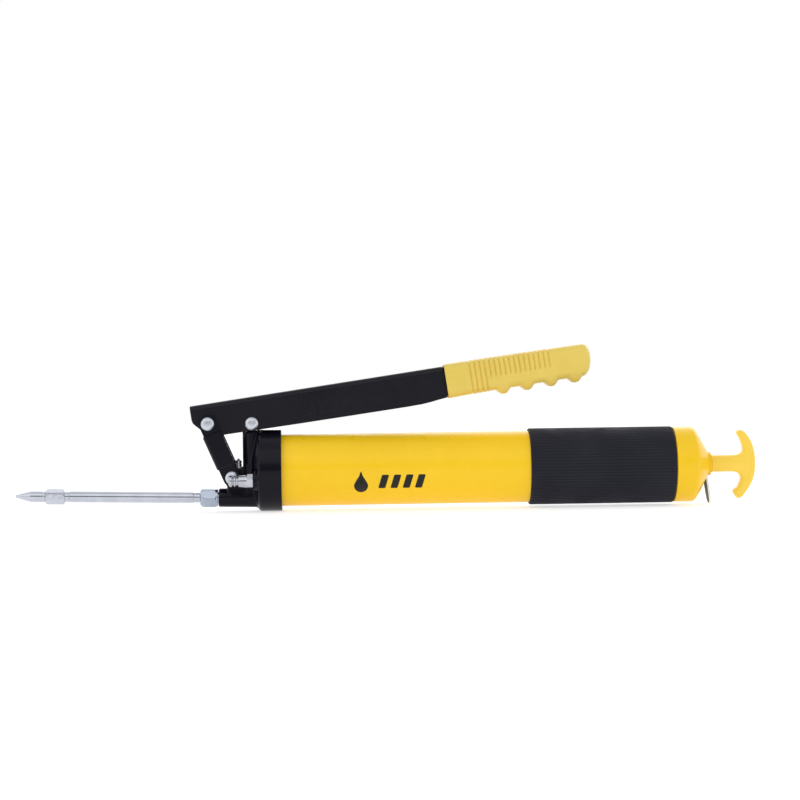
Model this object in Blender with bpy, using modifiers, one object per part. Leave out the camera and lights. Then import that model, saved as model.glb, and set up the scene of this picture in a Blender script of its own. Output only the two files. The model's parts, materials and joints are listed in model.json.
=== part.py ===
"""Lever-type grease gun: pump head, toggle-linked lever, barrel, follower and pull rod.

Sizes below are in millimetres and become metres through MM. The drawing frame has its X axis on the
barrel's axis with X = 0 at the rear edge of the head's collar, the nozzle towards -X, the pull
handle towards +X and the lever above (+Z). The empty "gun_frame" shifts it so that the world origin
lies at the bottom centre of the whole object.
"""
import math

import bmesh
import bpy
from mathutils import Matrix, Vector

MM = 0.001

# Barrel and head collar
BARREL_R = 28.5
BARREL_WALL = 1.5
BARREL_FRONT = -11.0
BARREL_BACK = 324.8
COLLAR_R = 32.2
COLLAR_FRONT = -18.9
CUP_INSIDE_FRONT = -13.5
SLEEVE_FRONT = 196.4
SLEEVE_BACK = 311.9
SLEEVE_R = 30.4
CAP_R = 30.0
CAP_BACK = 342.8
GAP = 0.3

# Pump linkage: three pins across the gun, each given as (X, Z)
LINK_PIN = (-39.3, -5.2)
LEVER_PIN = (-57.9, 37.6)
PLUNGER_PIN = (-23.2, 37.4)
PIN_R = 3.0
PIN_HOLE_R = 3.08
PIN_HEAD_R = 5.3
LEVER_TILT = 8.2
LEVER_WIDTH = 22.0
LEVER_WALL = 2.5
LEVER_TOP = 16.1
LEVER_BEND = 4.5
LEVER_BACK = 191.2
TANG_TOP = 14.9
TANG_INSET = 0.4
TANG_BACK = 299.0
LINK_INNER_WIDTH = 22.8
LINK_WALL = 2.5
LINK_HALF = 7.0

# Hand grip, along the lever's own frame
GRIP_HALF = 12.8
GRIP_TOP = 17.6
GRIP_UNDERSIDE = -9.0
GRIP_CORNER = 6.0
GRIP_FRONT = 191.7
GRIP_BACK = 309.3
BUMP_FIRST = 237.3
BUMP_PITCH = 19.35
BUMP_DEPTH = 4.1
BUMP_HALF = 5.0
BUMPS = 4

# Pump cylinder
PLUNGER_R = 4.5
BORE_R = 4.58
BOSS_R = 7.8
BOSS_TOP = 31.0
CHAMBER_FLOOR = -9.5

# Discharge line, along a frame tilted so that the nozzle rises slightly
SPOUT_START = (-26.0, -21.57)
SPOUT_TILT = 1.222
OUTLET_R = 7.4
OUTLET_END = -24.4
PIPE_R = 4.5
PIPE_BORE_R = 2.0
NUT_R = 8.1
NOZZLE_HEX_R = 6.35
TIP_END = -185.2

# Filler nipple and air bleeder
FILLER_AT = (-22.4, -21.6, -7.75)
FILLER_TILT = 0.5
BLEEDER_X = -34.4
BLEEDER_SEAT = 1.8

# Pull rod, follower and lock tab
ROD_R = 4.0
ROD_HOLE_R = 4.1
ROD_BACK = 358.0
HANDLE_FRONT = 343.3
HANDLE_BACK = 378.6
STEM_R = 6.8
TAB_TOP = (335.6, 11.0)
TAB_LEAN = 8.2
TAB_LENGTH = 43.0
TAB_HALF = 7.0
TAB_THICK = 1.6

BASE_DROP = COLLAR_R
CENTRE_X = (SPOUT_START[0] + TIP_END + HANDLE_BACK) / 2

# Sides used to turn large, middling and small round pieces
LARGE = 36
MEDIUM = 20
SMALL = 12

# Where two cutters meet, or a cutter meets a turned wall, each is spun by its own few degrees and
# some are shifted by NUDGE, so that no facet of one lies exactly in a facet of the other
NUDGE = 0.05

PARTS = "grease_gun"
CUTTERS = "grease_gun_cutters"


# ---------------------------------------------------------------- scene helpers

def clear_scene():
    for thing in list(bpy.data.objects):
        bpy.data.objects.remove(thing, do_unlink=True)
    for group in list(bpy.data.collections):
        bpy.data.collections.remove(group)


def make_collection(name):
    group = bpy.data.collections.new(name)
    bpy.context.scene.collection.children.link(group)
    return group


def make_look(name, colour, roughness, metallic):
    look = bpy.data.materials.new(name)
    look.use_nodes = True
    shader = look.node_tree.nodes["Principled BSDF"]
    shader.inputs["Base Color"].default_value = (*colour, 1.0)
    shader.inputs["Roughness"].default_value = roughness
    shader.inputs["Metallic"].default_value = metallic
    look.diffuse_color = (*colour, 1.0)
    return look


def make_frame(name, location, parent=None, tilt=0.0):
    """An empty at (X, Y, Z), turned by tilt degrees about Y."""
    frame = bpy.data.objects.new(name, None)
    frame.empty_display_size = 0.01
    frame.location = Vector(location) * MM
    frame.rotation_euler = (0.0, math.radians(tilt), 0.0)
    frame.parent = parent
    bpy.data.collections[PARTS].objects.link(frame)
    return frame


def place(thing, parent, location, rotation=(0.0, 0.0, 0.0)):
    """Put an object in its parent's frame; rotation is in degrees, Z turned first, X last."""
    thing.parent = parent
    thing.rotation_mode = "ZYX"
    thing.location = Vector(location) * MM
    thing.rotation_euler = [math.radians(angle) for angle in rotation]
    return thing


# Local Z to world +X, local Z to world -Y, and local X, Y, Z to world Y, Z, X
ALONG_X = (0.0, 90.0, 0.0)
ALONG_Y = (90.0, 0.0, 0.0)
CROSSWISE = (90.0, 90.0, 0.0)


def register(mesh, name, look):
    """Link a mesh as a part, or as a cutter when it has no look."""
    thing = bpy.data.objects.new(name, mesh)
    if look is None:
        bpy.data.collections[CUTTERS].objects.link(thing)
        thing.hide_render = True
        thing.display_type = "WIRE"
    else:
        bpy.data.collections[PARTS].objects.link(thing)
        mesh.materials.append(look)
        mesh.shade_smooth()
        mesh.set_sharp_from_angle(angle=math.radians(35))
    return thing


def turned(name, look, profile, segments):
    """Turn (radius, height) points about Z; the outer side runs from high to low."""
    mesh = bpy.data.meshes.new(name)
    bm = bmesh.new()
    points = [bm.verts.new((radius * MM, 0.0, height * MM)) for radius, height in profile]
    for first, second in zip(points, points[1:]):
        bm.edges.new((first, second))
    if profile[0][0] > 0 or profile[-1][0] > 0:
        bm.edges.new((points[-1], points[0]))
    bm.to_mesh(mesh)
    bm.free()
    thing = register(mesh, name, look)
    screw = thing.modifiers.new("turn", "SCREW")
    screw.axis = "Z"
    screw.angle = math.tau
    screw.steps = segments
    screw.render_steps = segments
    screw.use_merge_vertices = True
    screw.merge_threshold = 0.00001
    return thing


def drill(name, radius, low, high, segments=20):
    """A plain cylinder along Z between two heights, used to cut or to join."""
    return turned(name, None, [(0, high), (radius, high), (radius, low), (0, low)], segments)


def curve_to_mesh(curve, name):
    """Evaluate a curve object, weld its caps and return a plain mesh."""
    bpy.data.collections[PARTS].objects.link(curve)
    bpy.context.view_layer.update()
    solved = curve.evaluated_get(bpy.context.evaluated_depsgraph_get())
    mesh = bpy.data.meshes.new_from_object(solved)
    mesh.name = name
    bpy.data.objects.remove(curve, do_unlink=True)
    bm = bmesh.new()
    bm.from_mesh(mesh)
    bmesh.ops.remove_doubles(bm, verts=bm.verts, dist=0.00001)
    bmesh.ops.recalc_face_normals(bm, faces=bm.faces)
    bm.to_mesh(mesh)
    bm.free()
    return mesh


def plate(name, look, outline, thickness, lift=0.0):
    """A flat outline in local XY, thickened along local Z about the height lift."""
    data = bpy.data.curves.new(name, "CURVE")
    data.dimensions = "2D"
    data.fill_mode = "BOTH"
    data.extrude = thickness * MM / 2
    spline = data.splines.new("POLY")
    spline.points.add(len(outline) - 1)
    for point, (x, y) in zip(spline.points, outline):
        point.co = (x * MM, y * MM, 0.0, 1.0)
    spline.use_cyclic_u = True
    mesh = curve_to_mesh(bpy.data.objects.new(name, data), name)
    mesh.transform(Matrix.Translation((0.0, 0.0, lift * MM)))
    return register(mesh, name, look)


def coil(name, look, radius, wire, low, high, turns, roundness=0):
    """A helical wire about Z whose end turns lie flat."""
    steps = 8
    total = steps * turns
    data = bpy.data.curves.new(name, "CURVE")
    data.dimensions = "3D"
    data.bevel_depth = wire * MM
    data.bevel_resolution = roundness
    data.use_fill_caps = True
    spline = data.splines.new("POLY")
    spline.points.add(total)
    dead = steps
    for index, point in enumerate(spline.points):
        angle = math.tau * index / steps
        share = min(max((index - dead) / (total - 2 * dead), 0.0), 1.0)
        lift = 2.1 * wire * (min(index, dead) + max(index - total + dead, 0)) / dead
        rise = low + wire + lift + share * (high - low - 6.2 * wire)
        point.co = (radius * math.cos(angle) * MM, radius * math.sin(angle) * MM, rise * MM, 1.0)
    mesh = curve_to_mesh(bpy.data.objects.new(name, data), name)
    return register(mesh, name, look)


def ball(name, look, radius):
    bm = bmesh.new()
    bmesh.ops.create_uvsphere(bm, u_segments=12, v_segments=6, radius=radius * MM)
    mesh = bpy.data.meshes.new(name)
    bm.to_mesh(mesh)
    bm.free()
    return register(mesh, name, look)


def box(name, look, low, high):
    """A box between two corners given in mm."""
    bm = bmesh.new()
    bmesh.ops.create_cube(bm, size=1.0)
    size = [(b - a) * MM for a, b in zip(low, high)]
    middle = [(a + b) * MM / 2 for a, b in zip(low, high)]
    bmesh.ops.scale(bm, vec=size, verts=bm.verts)
    bmesh.ops.translate(bm, vec=middle, verts=bm.verts)
    mesh = bpy.data.meshes.new(name)
    bm.to_mesh(mesh)
    bm.free()
    return register(mesh, name, look)


def combine(target, operand, operation):
    step = target.modifiers.new(operation.lower(), "BOOLEAN")
    step.operation = operation
    step.solver = "EXACT"
    step.object = operand


def cut(target, *operands):
    for operand in operands:
        combine(target, operand, "DIFFERENCE")


def join(target, *operands):
    for operand in operands:
        combine(target, operand, "UNION")


def keep(target, operand):
    combine(target, operand, "INTERSECT")


# ---------------------------------------------------------------- outline helpers

def arc(centre, radius, start, stop, steps):
    """Points on an arc between two angles in degrees."""
    points = []
    for index in range(steps + 1):
        angle = math.radians(start + (stop - start) * index / steps)
        points.append((centre[0] + radius * math.cos(angle), centre[1] + radius * math.sin(angle)))
    return points


def rounded_rectangle(low, high, radius, steps=4):
    corners = [
        ((high[0] - radius, high[1] - radius), 0),
        ((low[0] + radius, high[1] - radius), 90),
        ((low[0] + radius, low[1] + radius), 180),
        ((high[0] - radius, low[1] + radius), 270),
    ]
    points = []
    for centre, start in corners:
        points += arc(centre, radius, start, start + 90, steps)
    return points


def channel_section(half_width, top, bottom, wall, bend):
    """A U section open downwards: local X across, local Y up."""
    outside = [(half_width, bottom)]
    outside += arc((half_width - bend, top - bend), bend, 0, 90, 4)
    outside += arc((bend - half_width, top - bend), bend, 90, 180, 4)
    outside.append((-half_width, bottom))
    inner = half_width - wall
    inside_bend = bend - wall
    inside = [(-inner, bottom)]
    inside += arc((inside_bend - inner, top - bend), inside_bend, 180, 90, 4)
    inside += arc((inner - inside_bend, top - bend), inside_bend, 90, 0, 4)
    inside.append((inner, bottom))
    return outside + inside


# ---------------------------------------------------------------- pump head

def build_head(gun, spout, filler, looks):
    """The casting: screw cup, pump cylinder, outlet, pivot lug and filler boss in one piece."""
    inside = BARREL_R + GAP
    head = turned("pump_head", looks["black_paint"], [
        (0, CUP_INSIDE_FRONT - 1), (20, CUP_INSIDE_FRONT - 1), (24, CUP_INSIDE_FRONT),
        (inside, CUP_INSIDE_FRONT), (inside, 0), (COLLAR_R - 0.8, 0), (COLLAR_R, -0.8),
        (COLLAR_R, COLLAR_FRONT + 2.6), (COLLAR_R - 0.9, COLLAR_FRONT + 0.9),
        (COLLAR_R - 2.8, COLLAR_FRONT), (22, COLLAR_FRONT - 1.6), (12, COLLAR_FRONT - 3.4),
        (0, COLLAR_FRONT - 4.2),
    ], LARGE)
    place(head, gun, (0, 0, 0), ALONG_X)

    boss_at = (PLUNGER_PIN[0], 0, 0)
    lug_at = (LINK_PIN[0], 0, LINK_PIN[1])
    bleeder_at = (BLEEDER_X, 0, 0)

    boss = turned("head_cylinder", None, [
        (0, BOSS_TOP), (BOSS_R - 0.8, BOSS_TOP), (BOSS_R, BOSS_TOP - 0.8), (BOSS_R, -24), (0, -24),
    ], MEDIUM)
    outlet = turned("head_outlet", None, [
        (0, 8), (OUTLET_R, 8), (OUTLET_R, OUTLET_END + 0.8), (OUTLET_R - 0.8, OUTLET_END),
        (0, OUTLET_END),
    ], MEDIUM)
    web = plate("head_web", None, [
        (-44.2, -10.5), (-42.0, -17.0), (-22.0, -17.0), (-22.0, 5.0), (-28.6, 4.4),
        (-29.4, BLEEDER_SEAT), (-38.0, BLEEDER_SEAT), (-41.0, -0.5),
    ], 12.0)
    lug = drill("head_lug", 6.3, -10.8, 10.8)
    nipple_boss = drill("head_filler_boss", 7.0, 0.3, 6.5, MEDIUM)
    join(
        head,
        place(boss, gun, boss_at),
        place(outlet, spout, (0, 0, 0), ALONG_X),
        place(web, gun, (0, 0, 0), ALONG_Y),
        place(lug, gun, lug_at, ALONG_Y),
        place(nipple_boss, filler, (0, 0, 0), ALONG_X),
    )

    bore = turned("bore_pump_cylinder", None, [
        (0, BOSS_TOP + 2), (BORE_R, BOSS_TOP + 2), (BORE_R, 27.0), (6.3, 27.0), (6.3, 24.0),
        (BORE_R, 24.0), (BORE_R, CHAMBER_FLOOR), (2.2, CHAMBER_FLOOR), (2.2, -21.8), (0, -21.8),
    ], MEDIUM)
    cup_port = drill("bore_cup_port", 2.5, 0, 14.0, SMALL)
    outlet_bore = turned("bore_outlet", None, [
        (0, 3.1), (1.9, 3.1), (1.9, -1.5), (3.2, -1.5), (3.2, -13.2), (PIPE_R + GAP, -13.2),
        (PIPE_R + GAP, OUTLET_END - 1), (0, OUTLET_END - 1),
    ], MEDIUM)
    pivot = drill("bore_link_pin", PIN_HOLE_R, -13, 13, 20)
    filler_bore = drill("bore_filler", 3.7, -1.0, 14.0, SMALL)
    bleed_bore = turned("bore_bleeder", None, [
        (0, 5.0), (2.15, 5.0), (2.15, -2.9), (1.1, -2.9), (1.1, -21.4), (0, -21.4),
    ], SMALL)
    cut(
        head,
        place(bore, gun, boss_at, (0, 0, 7.5)),
        place(cup_port, gun, (PLUNGER_PIN[0] + 1.3, 0.07, 12.0), (0, 90, 5)),
        place(outlet_bore, spout, (0, NUDGE, 0), (0, 90, 4)),
        place(pivot, gun, lug_at, (90, 0, 6)),
        place(filler_bore, filler, (0, 0, 0), (0, 90, 7)),
        place(bleed_bore, gun, bleeder_at, (0, 0, 8)),
    )

    gasket = turned("head_gasket", looks["nitrile"], [
        (28.3, -11.3), (28.3, -13.2), (24.4, -13.2), (24.4, -11.3),
    ], LARGE)
    place(gasket, gun, (0, 0, 0), ALONG_X)
    seal = turned("plunger_seal", looks["nitrile"], [
        (6.1, 26.2), (6.1, 24.8), (5.6, 24.3), (5.1, 24.3),
        (4.68, 24.8), (4.68, 26.2), (5.1, 26.7), (5.6, 26.7),
    ], MEDIUM)
    place(seal, gun, boss_at)


# ---------------------------------------------------------------- discharge line

def build_spout(spout, looks):
    zinc = looks["bright_zinc"]
    pipe = turned("extension_pipe", zinc, [
        (PIPE_R, -13.9), (PIPE_R, -38.9), (PIPE_R - 0.4, -39.2), (PIPE_R - 0.4, -44.3),
        (PIPE_R, -44.7), (PIPE_R, -142.3), (PIPE_R - 0.4, -142.7), (PIPE_R - 0.4, -153.6),
        (PIPE_BORE_R, -153.6), (PIPE_BORE_R, -13.9),
    ], MEDIUM)
    place(pipe, spout, (0, 0, 0), ALONG_X)

    nut = turned("pipe_nut", zinc, [
        (0, -24.9), (7.15, -24.9), (7.15, -26.4), (NUT_R, -27.2), (NUT_R, -35.5),
        (7.1, -38.2), (5.4, -39.3), (0, -39.3),
    ], MEDIUM)
    place(nut, spout, (0, 0, 0), ALONG_X)
    nut_bar = turned("nut_hexagon", None, [(0, -24), (8.3, -24), (8.3, -40), (0, -40)], 6)
    nut_bore = drill("nut_bore", PIPE_R + GAP, -41, -23)
    keep(nut, place(nut_bar, spout, (0, 0, 0), (98.0, 90.0, 0.0)))
    cut(nut, place(nut_bore, spout, (0, 0, 0), ALONG_X))

    adaptor = turned("nozzle_adaptor", zinc, [
        (0, -146.0), (5.2, -146.0), (NOZZLE_HEX_R, -147.3), (NOZZLE_HEX_R, -159.9),
        (5.2, -161.2), (0, -161.2),
    ], MEDIUM)
    place(adaptor, spout, (0, 0, 0), ALONG_X)
    hex_bar = turned("adaptor_hexagon", None, [(0, -145), (6.4, -145), (6.4, -162), (0, -162)], 6)
    keep(adaptor, place(hex_bar, spout, (0, 0, 0), ALONG_X))
    for name, radius, low, high in (
        ("adaptor_pipe_bore", 4.4, -154.0, -145.0),
        ("adaptor_through", 2.2, -157.0, -153.0),
        ("adaptor_tip_bore", 3.5, -162.5, -156.0),
    ):
        cut(adaptor, place(drill(name, radius, low, high), spout, (0, 0, 0), ALONG_X))

    tip = turned("nozzle_tip", zinc, [
        (3.2, -156.5), (3.2, -161.5), (4.4, -161.5), (4.4, -173.0), (1.0, TIP_END),
        (0.55, TIP_END), (0.55, -180.0), (1.4, -176.0), (1.4, -156.5),
    ], MEDIUM)
    place(tip, spout, (0, 0, 0), ALONG_X)

    check = ball("outlet_check_ball", looks["bearing_steel"], 2.8)
    place(check, spout, (-3.75, 0, 0))
    spring = coil("outlet_check_spring", looks["spring_steel"], 2.1, 0.35, -13.6, -6.7, 4)
    place(spring, spout, (0, 0, 0), ALONG_X)


# ---------------------------------------------------------------- filler nipple and bleeder

def build_filler(filler, looks):
    body = turned("filler_nipple", looks["nickel_plate"], [
        (1.1, 8.0), (3.4, 8.0), (3.4, -4.9), (5.2, -4.9), (4.5, -11.4), (3.3, -12.0),
        (3.3, -13.4), (4.2, -13.8), (4.2, -15.1), (3.3, -15.5), (3.3, -16.2), (4.5, -16.7),
        (4.5, -18.3), (3.5, -19.3), (1.0, -19.3), (1.0, -18.2), (1.8, -18.2), (1.8, 2.0),
        (1.1, 2.0),
    ], MEDIUM)
    place(body, filler, (0, 0, 0), ALONG_X)
    hexagon = turned("filler_hexagon", None, [(6.3, 0), (6.3, -4.8), (2.6, -4.8), (2.6, 0)], 6)
    join(body, place(hexagon, filler, (0, 0, 0), (12.0, 90.0, 0.0)))
    check = ball("filler_check_ball", looks["bearing_steel"], 1.55)
    place(check, filler, (-16.9, 0, 0))
    spring = coil("filler_spring", looks["spring_steel"], 1.3, 0.25, -15.2, 1.8, 4)
    place(spring, filler, (0, 0, 0), ALONG_X)


def build_bleeder(gun, looks):
    at = (BLEEDER_X, 0, 0)
    seat = BLEEDER_SEAT + GAP
    body = turned("bleeder_body", looks["bright_zinc"], [
        (1.1, 8.6), (2.0, 8.6), (2.6, 8.0), (2.6, 3.4), (3.1, 3.4), (3.1, seat), (1.85, seat),
        (1.85, -2.6), (0.8, -2.6), (0.8, -1.9), (1.55, -1.9), (1.55, 6.4), (1.1, 6.4),
    ], MEDIUM)
    place(body, gun, at)
    stem = turned("bleeder_stem", looks["bearing_steel"], [
        (0, 9.9), (0.7, 9.9), (1.02, 9.5), (1.02, 6.2), (1.4, 6.2), (1.4, 4.2), (0, 4.2),
    ], SMALL)
    place(stem, gun, at)
    spring = coil("bleeder_spring", looks["spring_steel"], 1.05, 0.22, -1.7, 4.0, 4)
    place(spring, gun, at)


# ---------------------------------------------------------------- linkage

def build_pin(name, gun, at, half_grip, looks):
    """A headed pin through the linkage, held by a ring in a groove at its far end."""
    seat = half_grip + 0.25
    pin = turned(name, looks["pin_steel"], [
        (0, seat + 2.5), (2.2, seat + 2.3), (4.0, seat + 1.7), (PIN_HEAD_R, seat + 0.7),
        (PIN_HEAD_R, seat), (PIN_R, seat), (PIN_R, -seat - 0.1), (2.5, -seat - 0.1),
        (2.5, -seat - 1.1), (PIN_R, -seat - 1.1), (PIN_R - 0.4, -seat - 1.9), (0, -seat - 1.9),
    ], MEDIUM)
    place(pin, gun, (at[0], 0, at[1]), ALONG_Y)
    ring = turned(name + "_ring", looks["spring_steel"], [
        (4.6, -seat - 0.25), (4.6, -seat - 0.95), (2.62, -seat - 0.95), (2.62, -seat - 0.25),
    ], MEDIUM)
    place(ring, gun, (at[0], 0, at[1]), ALONG_Y)


def build_link(link, length, looks):
    """Two straps outside the lever, tied by a bridge along their front edge."""
    strap_y = LINK_INNER_WIDTH / 2 + LINK_WALL / 2
    outline = arc((0, 0), LINK_HALF, 180, 360, 10)
    outline += arc((0, length), LINK_HALF, 0, 180, 10)
    outline += [(-LINK_HALF, length - 6.0), (-8.2, length - 8.2), (-8.2, 10.0), (-LINK_HALF, 8.2)]
    near = plate("toggle_link", looks["black_paint"], outline, LINK_WALL)
    place(near, link, (0, -strap_y, 0), ALONG_Y)
    far = plate("link_far_strap", None, outline, LINK_WALL)
    bridge = box("link_bridge", None, (-8.15, -12.0, 10.0), (-5.7, 12.0, length - 8.2))
    join(near, place(far, link, (0, strap_y, 0), ALONG_Y), place(bridge, link, (0, 0, 0)))
    for name, height in (("link_low_hole", 0.0), ("link_high_hole", length)):
        hole = drill(name, PIN_HOLE_R, -16, 16)
        cut(near, place(hole, link, (0, 0, height), ALONG_Y))


def build_lever(gun, arm, looks):
    """A folded channel, open below, with a narrower tang that carries the grip."""
    half = LEVER_WIDTH / 2
    front = -14.0
    section = channel_section(half, LEVER_TOP, -16.0, LEVER_WALL, LEVER_BEND)
    lever = plate("lever", looks["black_paint"], section, LEVER_BACK - front, (LEVER_BACK + front) / 2)
    place(lever, arm, (0, 0, 0), CROSSWISE)
    overlap = 5.2
    tang_front = LEVER_BACK - overlap
    tang_section = channel_section(half - TANG_INSET, TANG_TOP, -15.0, LEVER_WALL, LEVER_BEND - 0.5)
    tang = plate(
        "lever_tang", None, tang_section, TANG_BACK - tang_front, (TANG_BACK + tang_front) / 2)
    join(lever, place(tang, arm, (0, 0, 0), CROSSWISE))
    side = plate("lever_side", None, [
        (-11.7, 18.0), (-12.4, 7.8), (-12.3, 4.4), (-10.4, 0.8), (-6.2, -3.9), (-0.5, -10.2),
        (23.5, -10.5), (61.0, -10.9), (114.0, -11.2), (165.0, -11.3), (178.0, -10.4),
        (189.6, -9.0), (191.3, -8.8), (191.4, -7.0), (299.2, -7.0), (299.2, 18.0),
    ], 26.0)
    keep(lever, place(side, arm, (0, 0, 0), ALONG_Y))
    for name, at in (("lever_front_hole", LEVER_PIN), ("lever_rear_hole", PLUNGER_PIN)):
        cut(lever, place(drill(name, PIN_HOLE_R, -14, 14), gun, (at[0], 0, at[1]), ALONG_Y))


def build_grip(arm, looks):
    """A closed-end sleeve over the tang with four finger bumps below."""
    lowest = GRIP_UNDERSIDE - BUMP_DEPTH - 0.2
    section = rounded_rectangle((-GRIP_HALF, lowest), (GRIP_HALF, GRIP_TOP), GRIP_CORNER)
    length = GRIP_BACK + 0.2 - GRIP_FRONT
    grip = plate("lever_grip", looks["yellow_vinyl"], section, length, GRIP_FRONT + length / 2)
    place(grip, arm, (0, 0, 0), CROSSWISE)
    side = [
        (GRIP_FRONT + 0.9, 17.5), (GRIP_FRONT, 16.6), (GRIP_FRONT, -9.8), (206.0, -9.3),
        (219.0, GRIP_UNDERSIDE),
    ]
    for number in range(BUMPS):
        middle = BUMP_FIRST + BUMP_PITCH * number
        for step in range(-4, 5):
            swell = 0.5 * (1 + math.cos(math.pi * step / 4))
            side.append((middle + BUMP_HALF * step / 4, GRIP_UNDERSIDE - BUMP_DEPTH * swell))
    side += [
        (302.5, -8.6), (305.5, -6.2), (307.9, -0.5), (GRIP_BACK, 5.7), (308.6, 11.9), (306.5, 15.0),
        (303.5, 16.35),
    ]
    outline = plate("grip_side", None, side, 30.0)
    keep(grip, place(outline, arm, (0, 0, 0), ALONG_Y))
    room = box("grip_room", None, (185.0, -10.95, -7.35), (300.0, 10.95, 15.25))
    cut(grip, place(room, arm, (0, 0, 0)))


def build_plunger(gun, looks):
    """The pump rod, with a slotted eye that lets the lever pin wander as it swings."""
    height = PLUNGER_PIN[1]
    plunger = turned("plunger", looks["ground_steel"], [
        (0, 32.4), (PLUNGER_R, 32.4), (PLUNGER_R, -7.2), (PLUNGER_R - 0.8, -8.0), (0, -8.0),
    ], MEDIUM)
    place(plunger, gun, (PLUNGER_PIN[0], 0, 0))
    eye_outline = rounded_rectangle((-8.5, BOSS_TOP + 0.6), (8.5, height + 7.4), 5.5)
    eye = plate("plunger_eye", None, eye_outline, 10.0)
    slot_outline = arc((1.5, height), 4.3, -90, 90, 10) + arc((-1.5, height), 4.3, 90, 270, 10)
    slot = plate("plunger_slot", None, slot_outline, 14.0)
    join(plunger, place(eye, gun, (PLUNGER_PIN[0], 0, 0), ALONG_Y))
    cut(plunger, place(slot, gun, (PLUNGER_PIN[0], 0, 0), ALONG_Y))


# ---------------------------------------------------------------- barrel, cap and lock

def build_barrel(gun, looks):
    tube = turned("barrel", looks["yellow_paint"], [
        (BARREL_R, BARREL_BACK), (BARREL_R, BARREL_FRONT),
        (BARREL_R - BARREL_WALL, BARREL_FRONT), (BARREL_R - BARREL_WALL, BARREL_BACK),
    ], LARGE)
    place(tube, gun, (0, 0, 0), ALONG_X)
    inside = BARREL_R + GAP
    sleeve = turned("barrel_sleeve", looks["black_rubber"], [
        (inside, SLEEVE_BACK), (SLEEVE_R - 0.8, SLEEVE_BACK), (SLEEVE_R, SLEEVE_BACK - 0.8),
        (SLEEVE_R, SLEEVE_FRONT + 0.8), (SLEEVE_R - 0.6, SLEEVE_FRONT), (inside, SLEEVE_FRONT),
    ], LARGE)
    place(sleeve, gun, (0, 0, 0), ALONG_X)

    front = SLEEVE_BACK + GAP
    cap = turned("rear_cap", looks["yellow_paint"], [
        (ROD_HOLE_R, CAP_BACK), (9.1, CAP_BACK), (9.35, 342.0), (9.45, 340.8), (17.5, 336.1),
        (22.8, 333.0), (28.4, 329.6), (29.5, 328.6), (CAP_R, 327.2), (CAP_R, front + 0.5),
        (CAP_R - 0.5, front), (inside, front), (inside, 326.6), (27.9, 327.9), (8.05, 340.2),
        (ROD_HOLE_R, 340.2),
    ], LARGE)
    place(cap, gun, (0, 0, 0), ALONG_X)
    window = box("cap_window", None, (334.3, -TAB_HALF - 0.4, -26.0), (340.3, TAB_HALF + 0.4, -6.2))
    cut(cap, place(window, gun, (0, 0, 0)))

    seat = turned("spring_seat", looks["ground_steel"], [
        (28.2, 326.3), (28.2, 325.1), (4.3, 325.1), (4.3, 326.3),
    ], LARGE)
    place(seat, gun, (0, 0, 0), ALONG_X)
    spring = coil("lock_spring", looks["spring_steel"], 6.2, 0.5, 326.6, 334.5, 4)
    place(spring, gun, (0, 0, 0), ALONG_X)


def build_lock_tab(lock, looks):
    """The plate that grips the rod; its top edge rests in the cap and its foot hangs outside."""
    bottom = -TAB_LENGTH
    outline = [(TAB_HALF, -2.0), (TAB_HALF - 2.0, 0.5), (2.0 - TAB_HALF, 0.5), (-TAB_HALF, -2.0)]
    outline += arc((0, bottom + TAB_HALF), TAB_HALF, 180, 360, 12)
    tab = plate("rod_lock_tab", looks["chrome"], outline, TAB_THICK)
    place(tab, lock, (0, 0, 0), CROSSWISE)
    depth = TAB_TOP[1] / math.cos(math.radians(TAB_LEAN))
    hole = drill("tab_hole", 4.4, -4.0, 4.0)
    cut(tab, place(hole, lock, (0, 0, -depth), ALONG_X))


# ---------------------------------------------------------------- follower and pull rod

def build_follower(gun, looks):
    inside = BARREL_R - BARREL_WALL
    steel = looks["ground_steel"]
    cup = turned("follower_cup", looks["nitrile"], [
        (inside - 0.15, -1.8), (inside - 0.15, -10.0), (25.3, -10.0), (24.3, -4.8), (4.6, -4.8),
        (4.6, -1.8),
    ], LARGE)
    front = turned("follower_front_plate", steel, [
        (20.0, -5.1), (20.0, -6.3), (ROD_HOLE_R, -6.3), (ROD_HOLE_R, -5.1),
    ], MEDIUM)
    back = turned("follower_back_plate", steel, [
        (16.5, 3.5), (16.5, -0.3), (25.0, -0.3), (25.0, -1.5), (ROD_HOLE_R, -1.5),
        (ROD_HOLE_R, -0.3), (15.3, -0.3), (15.3, 3.5),
    ], MEDIUM)
    for piece in (cup, front, back):
        place(piece, gun, (0, 0, 0), ALONG_X)
    spring = coil("follower_spring", looks["spring_steel"], 20.0, 1.2, 0.1, 324.8, 8, 1)
    place(spring, gun, (0, 0, 0), ALONG_X)


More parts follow.
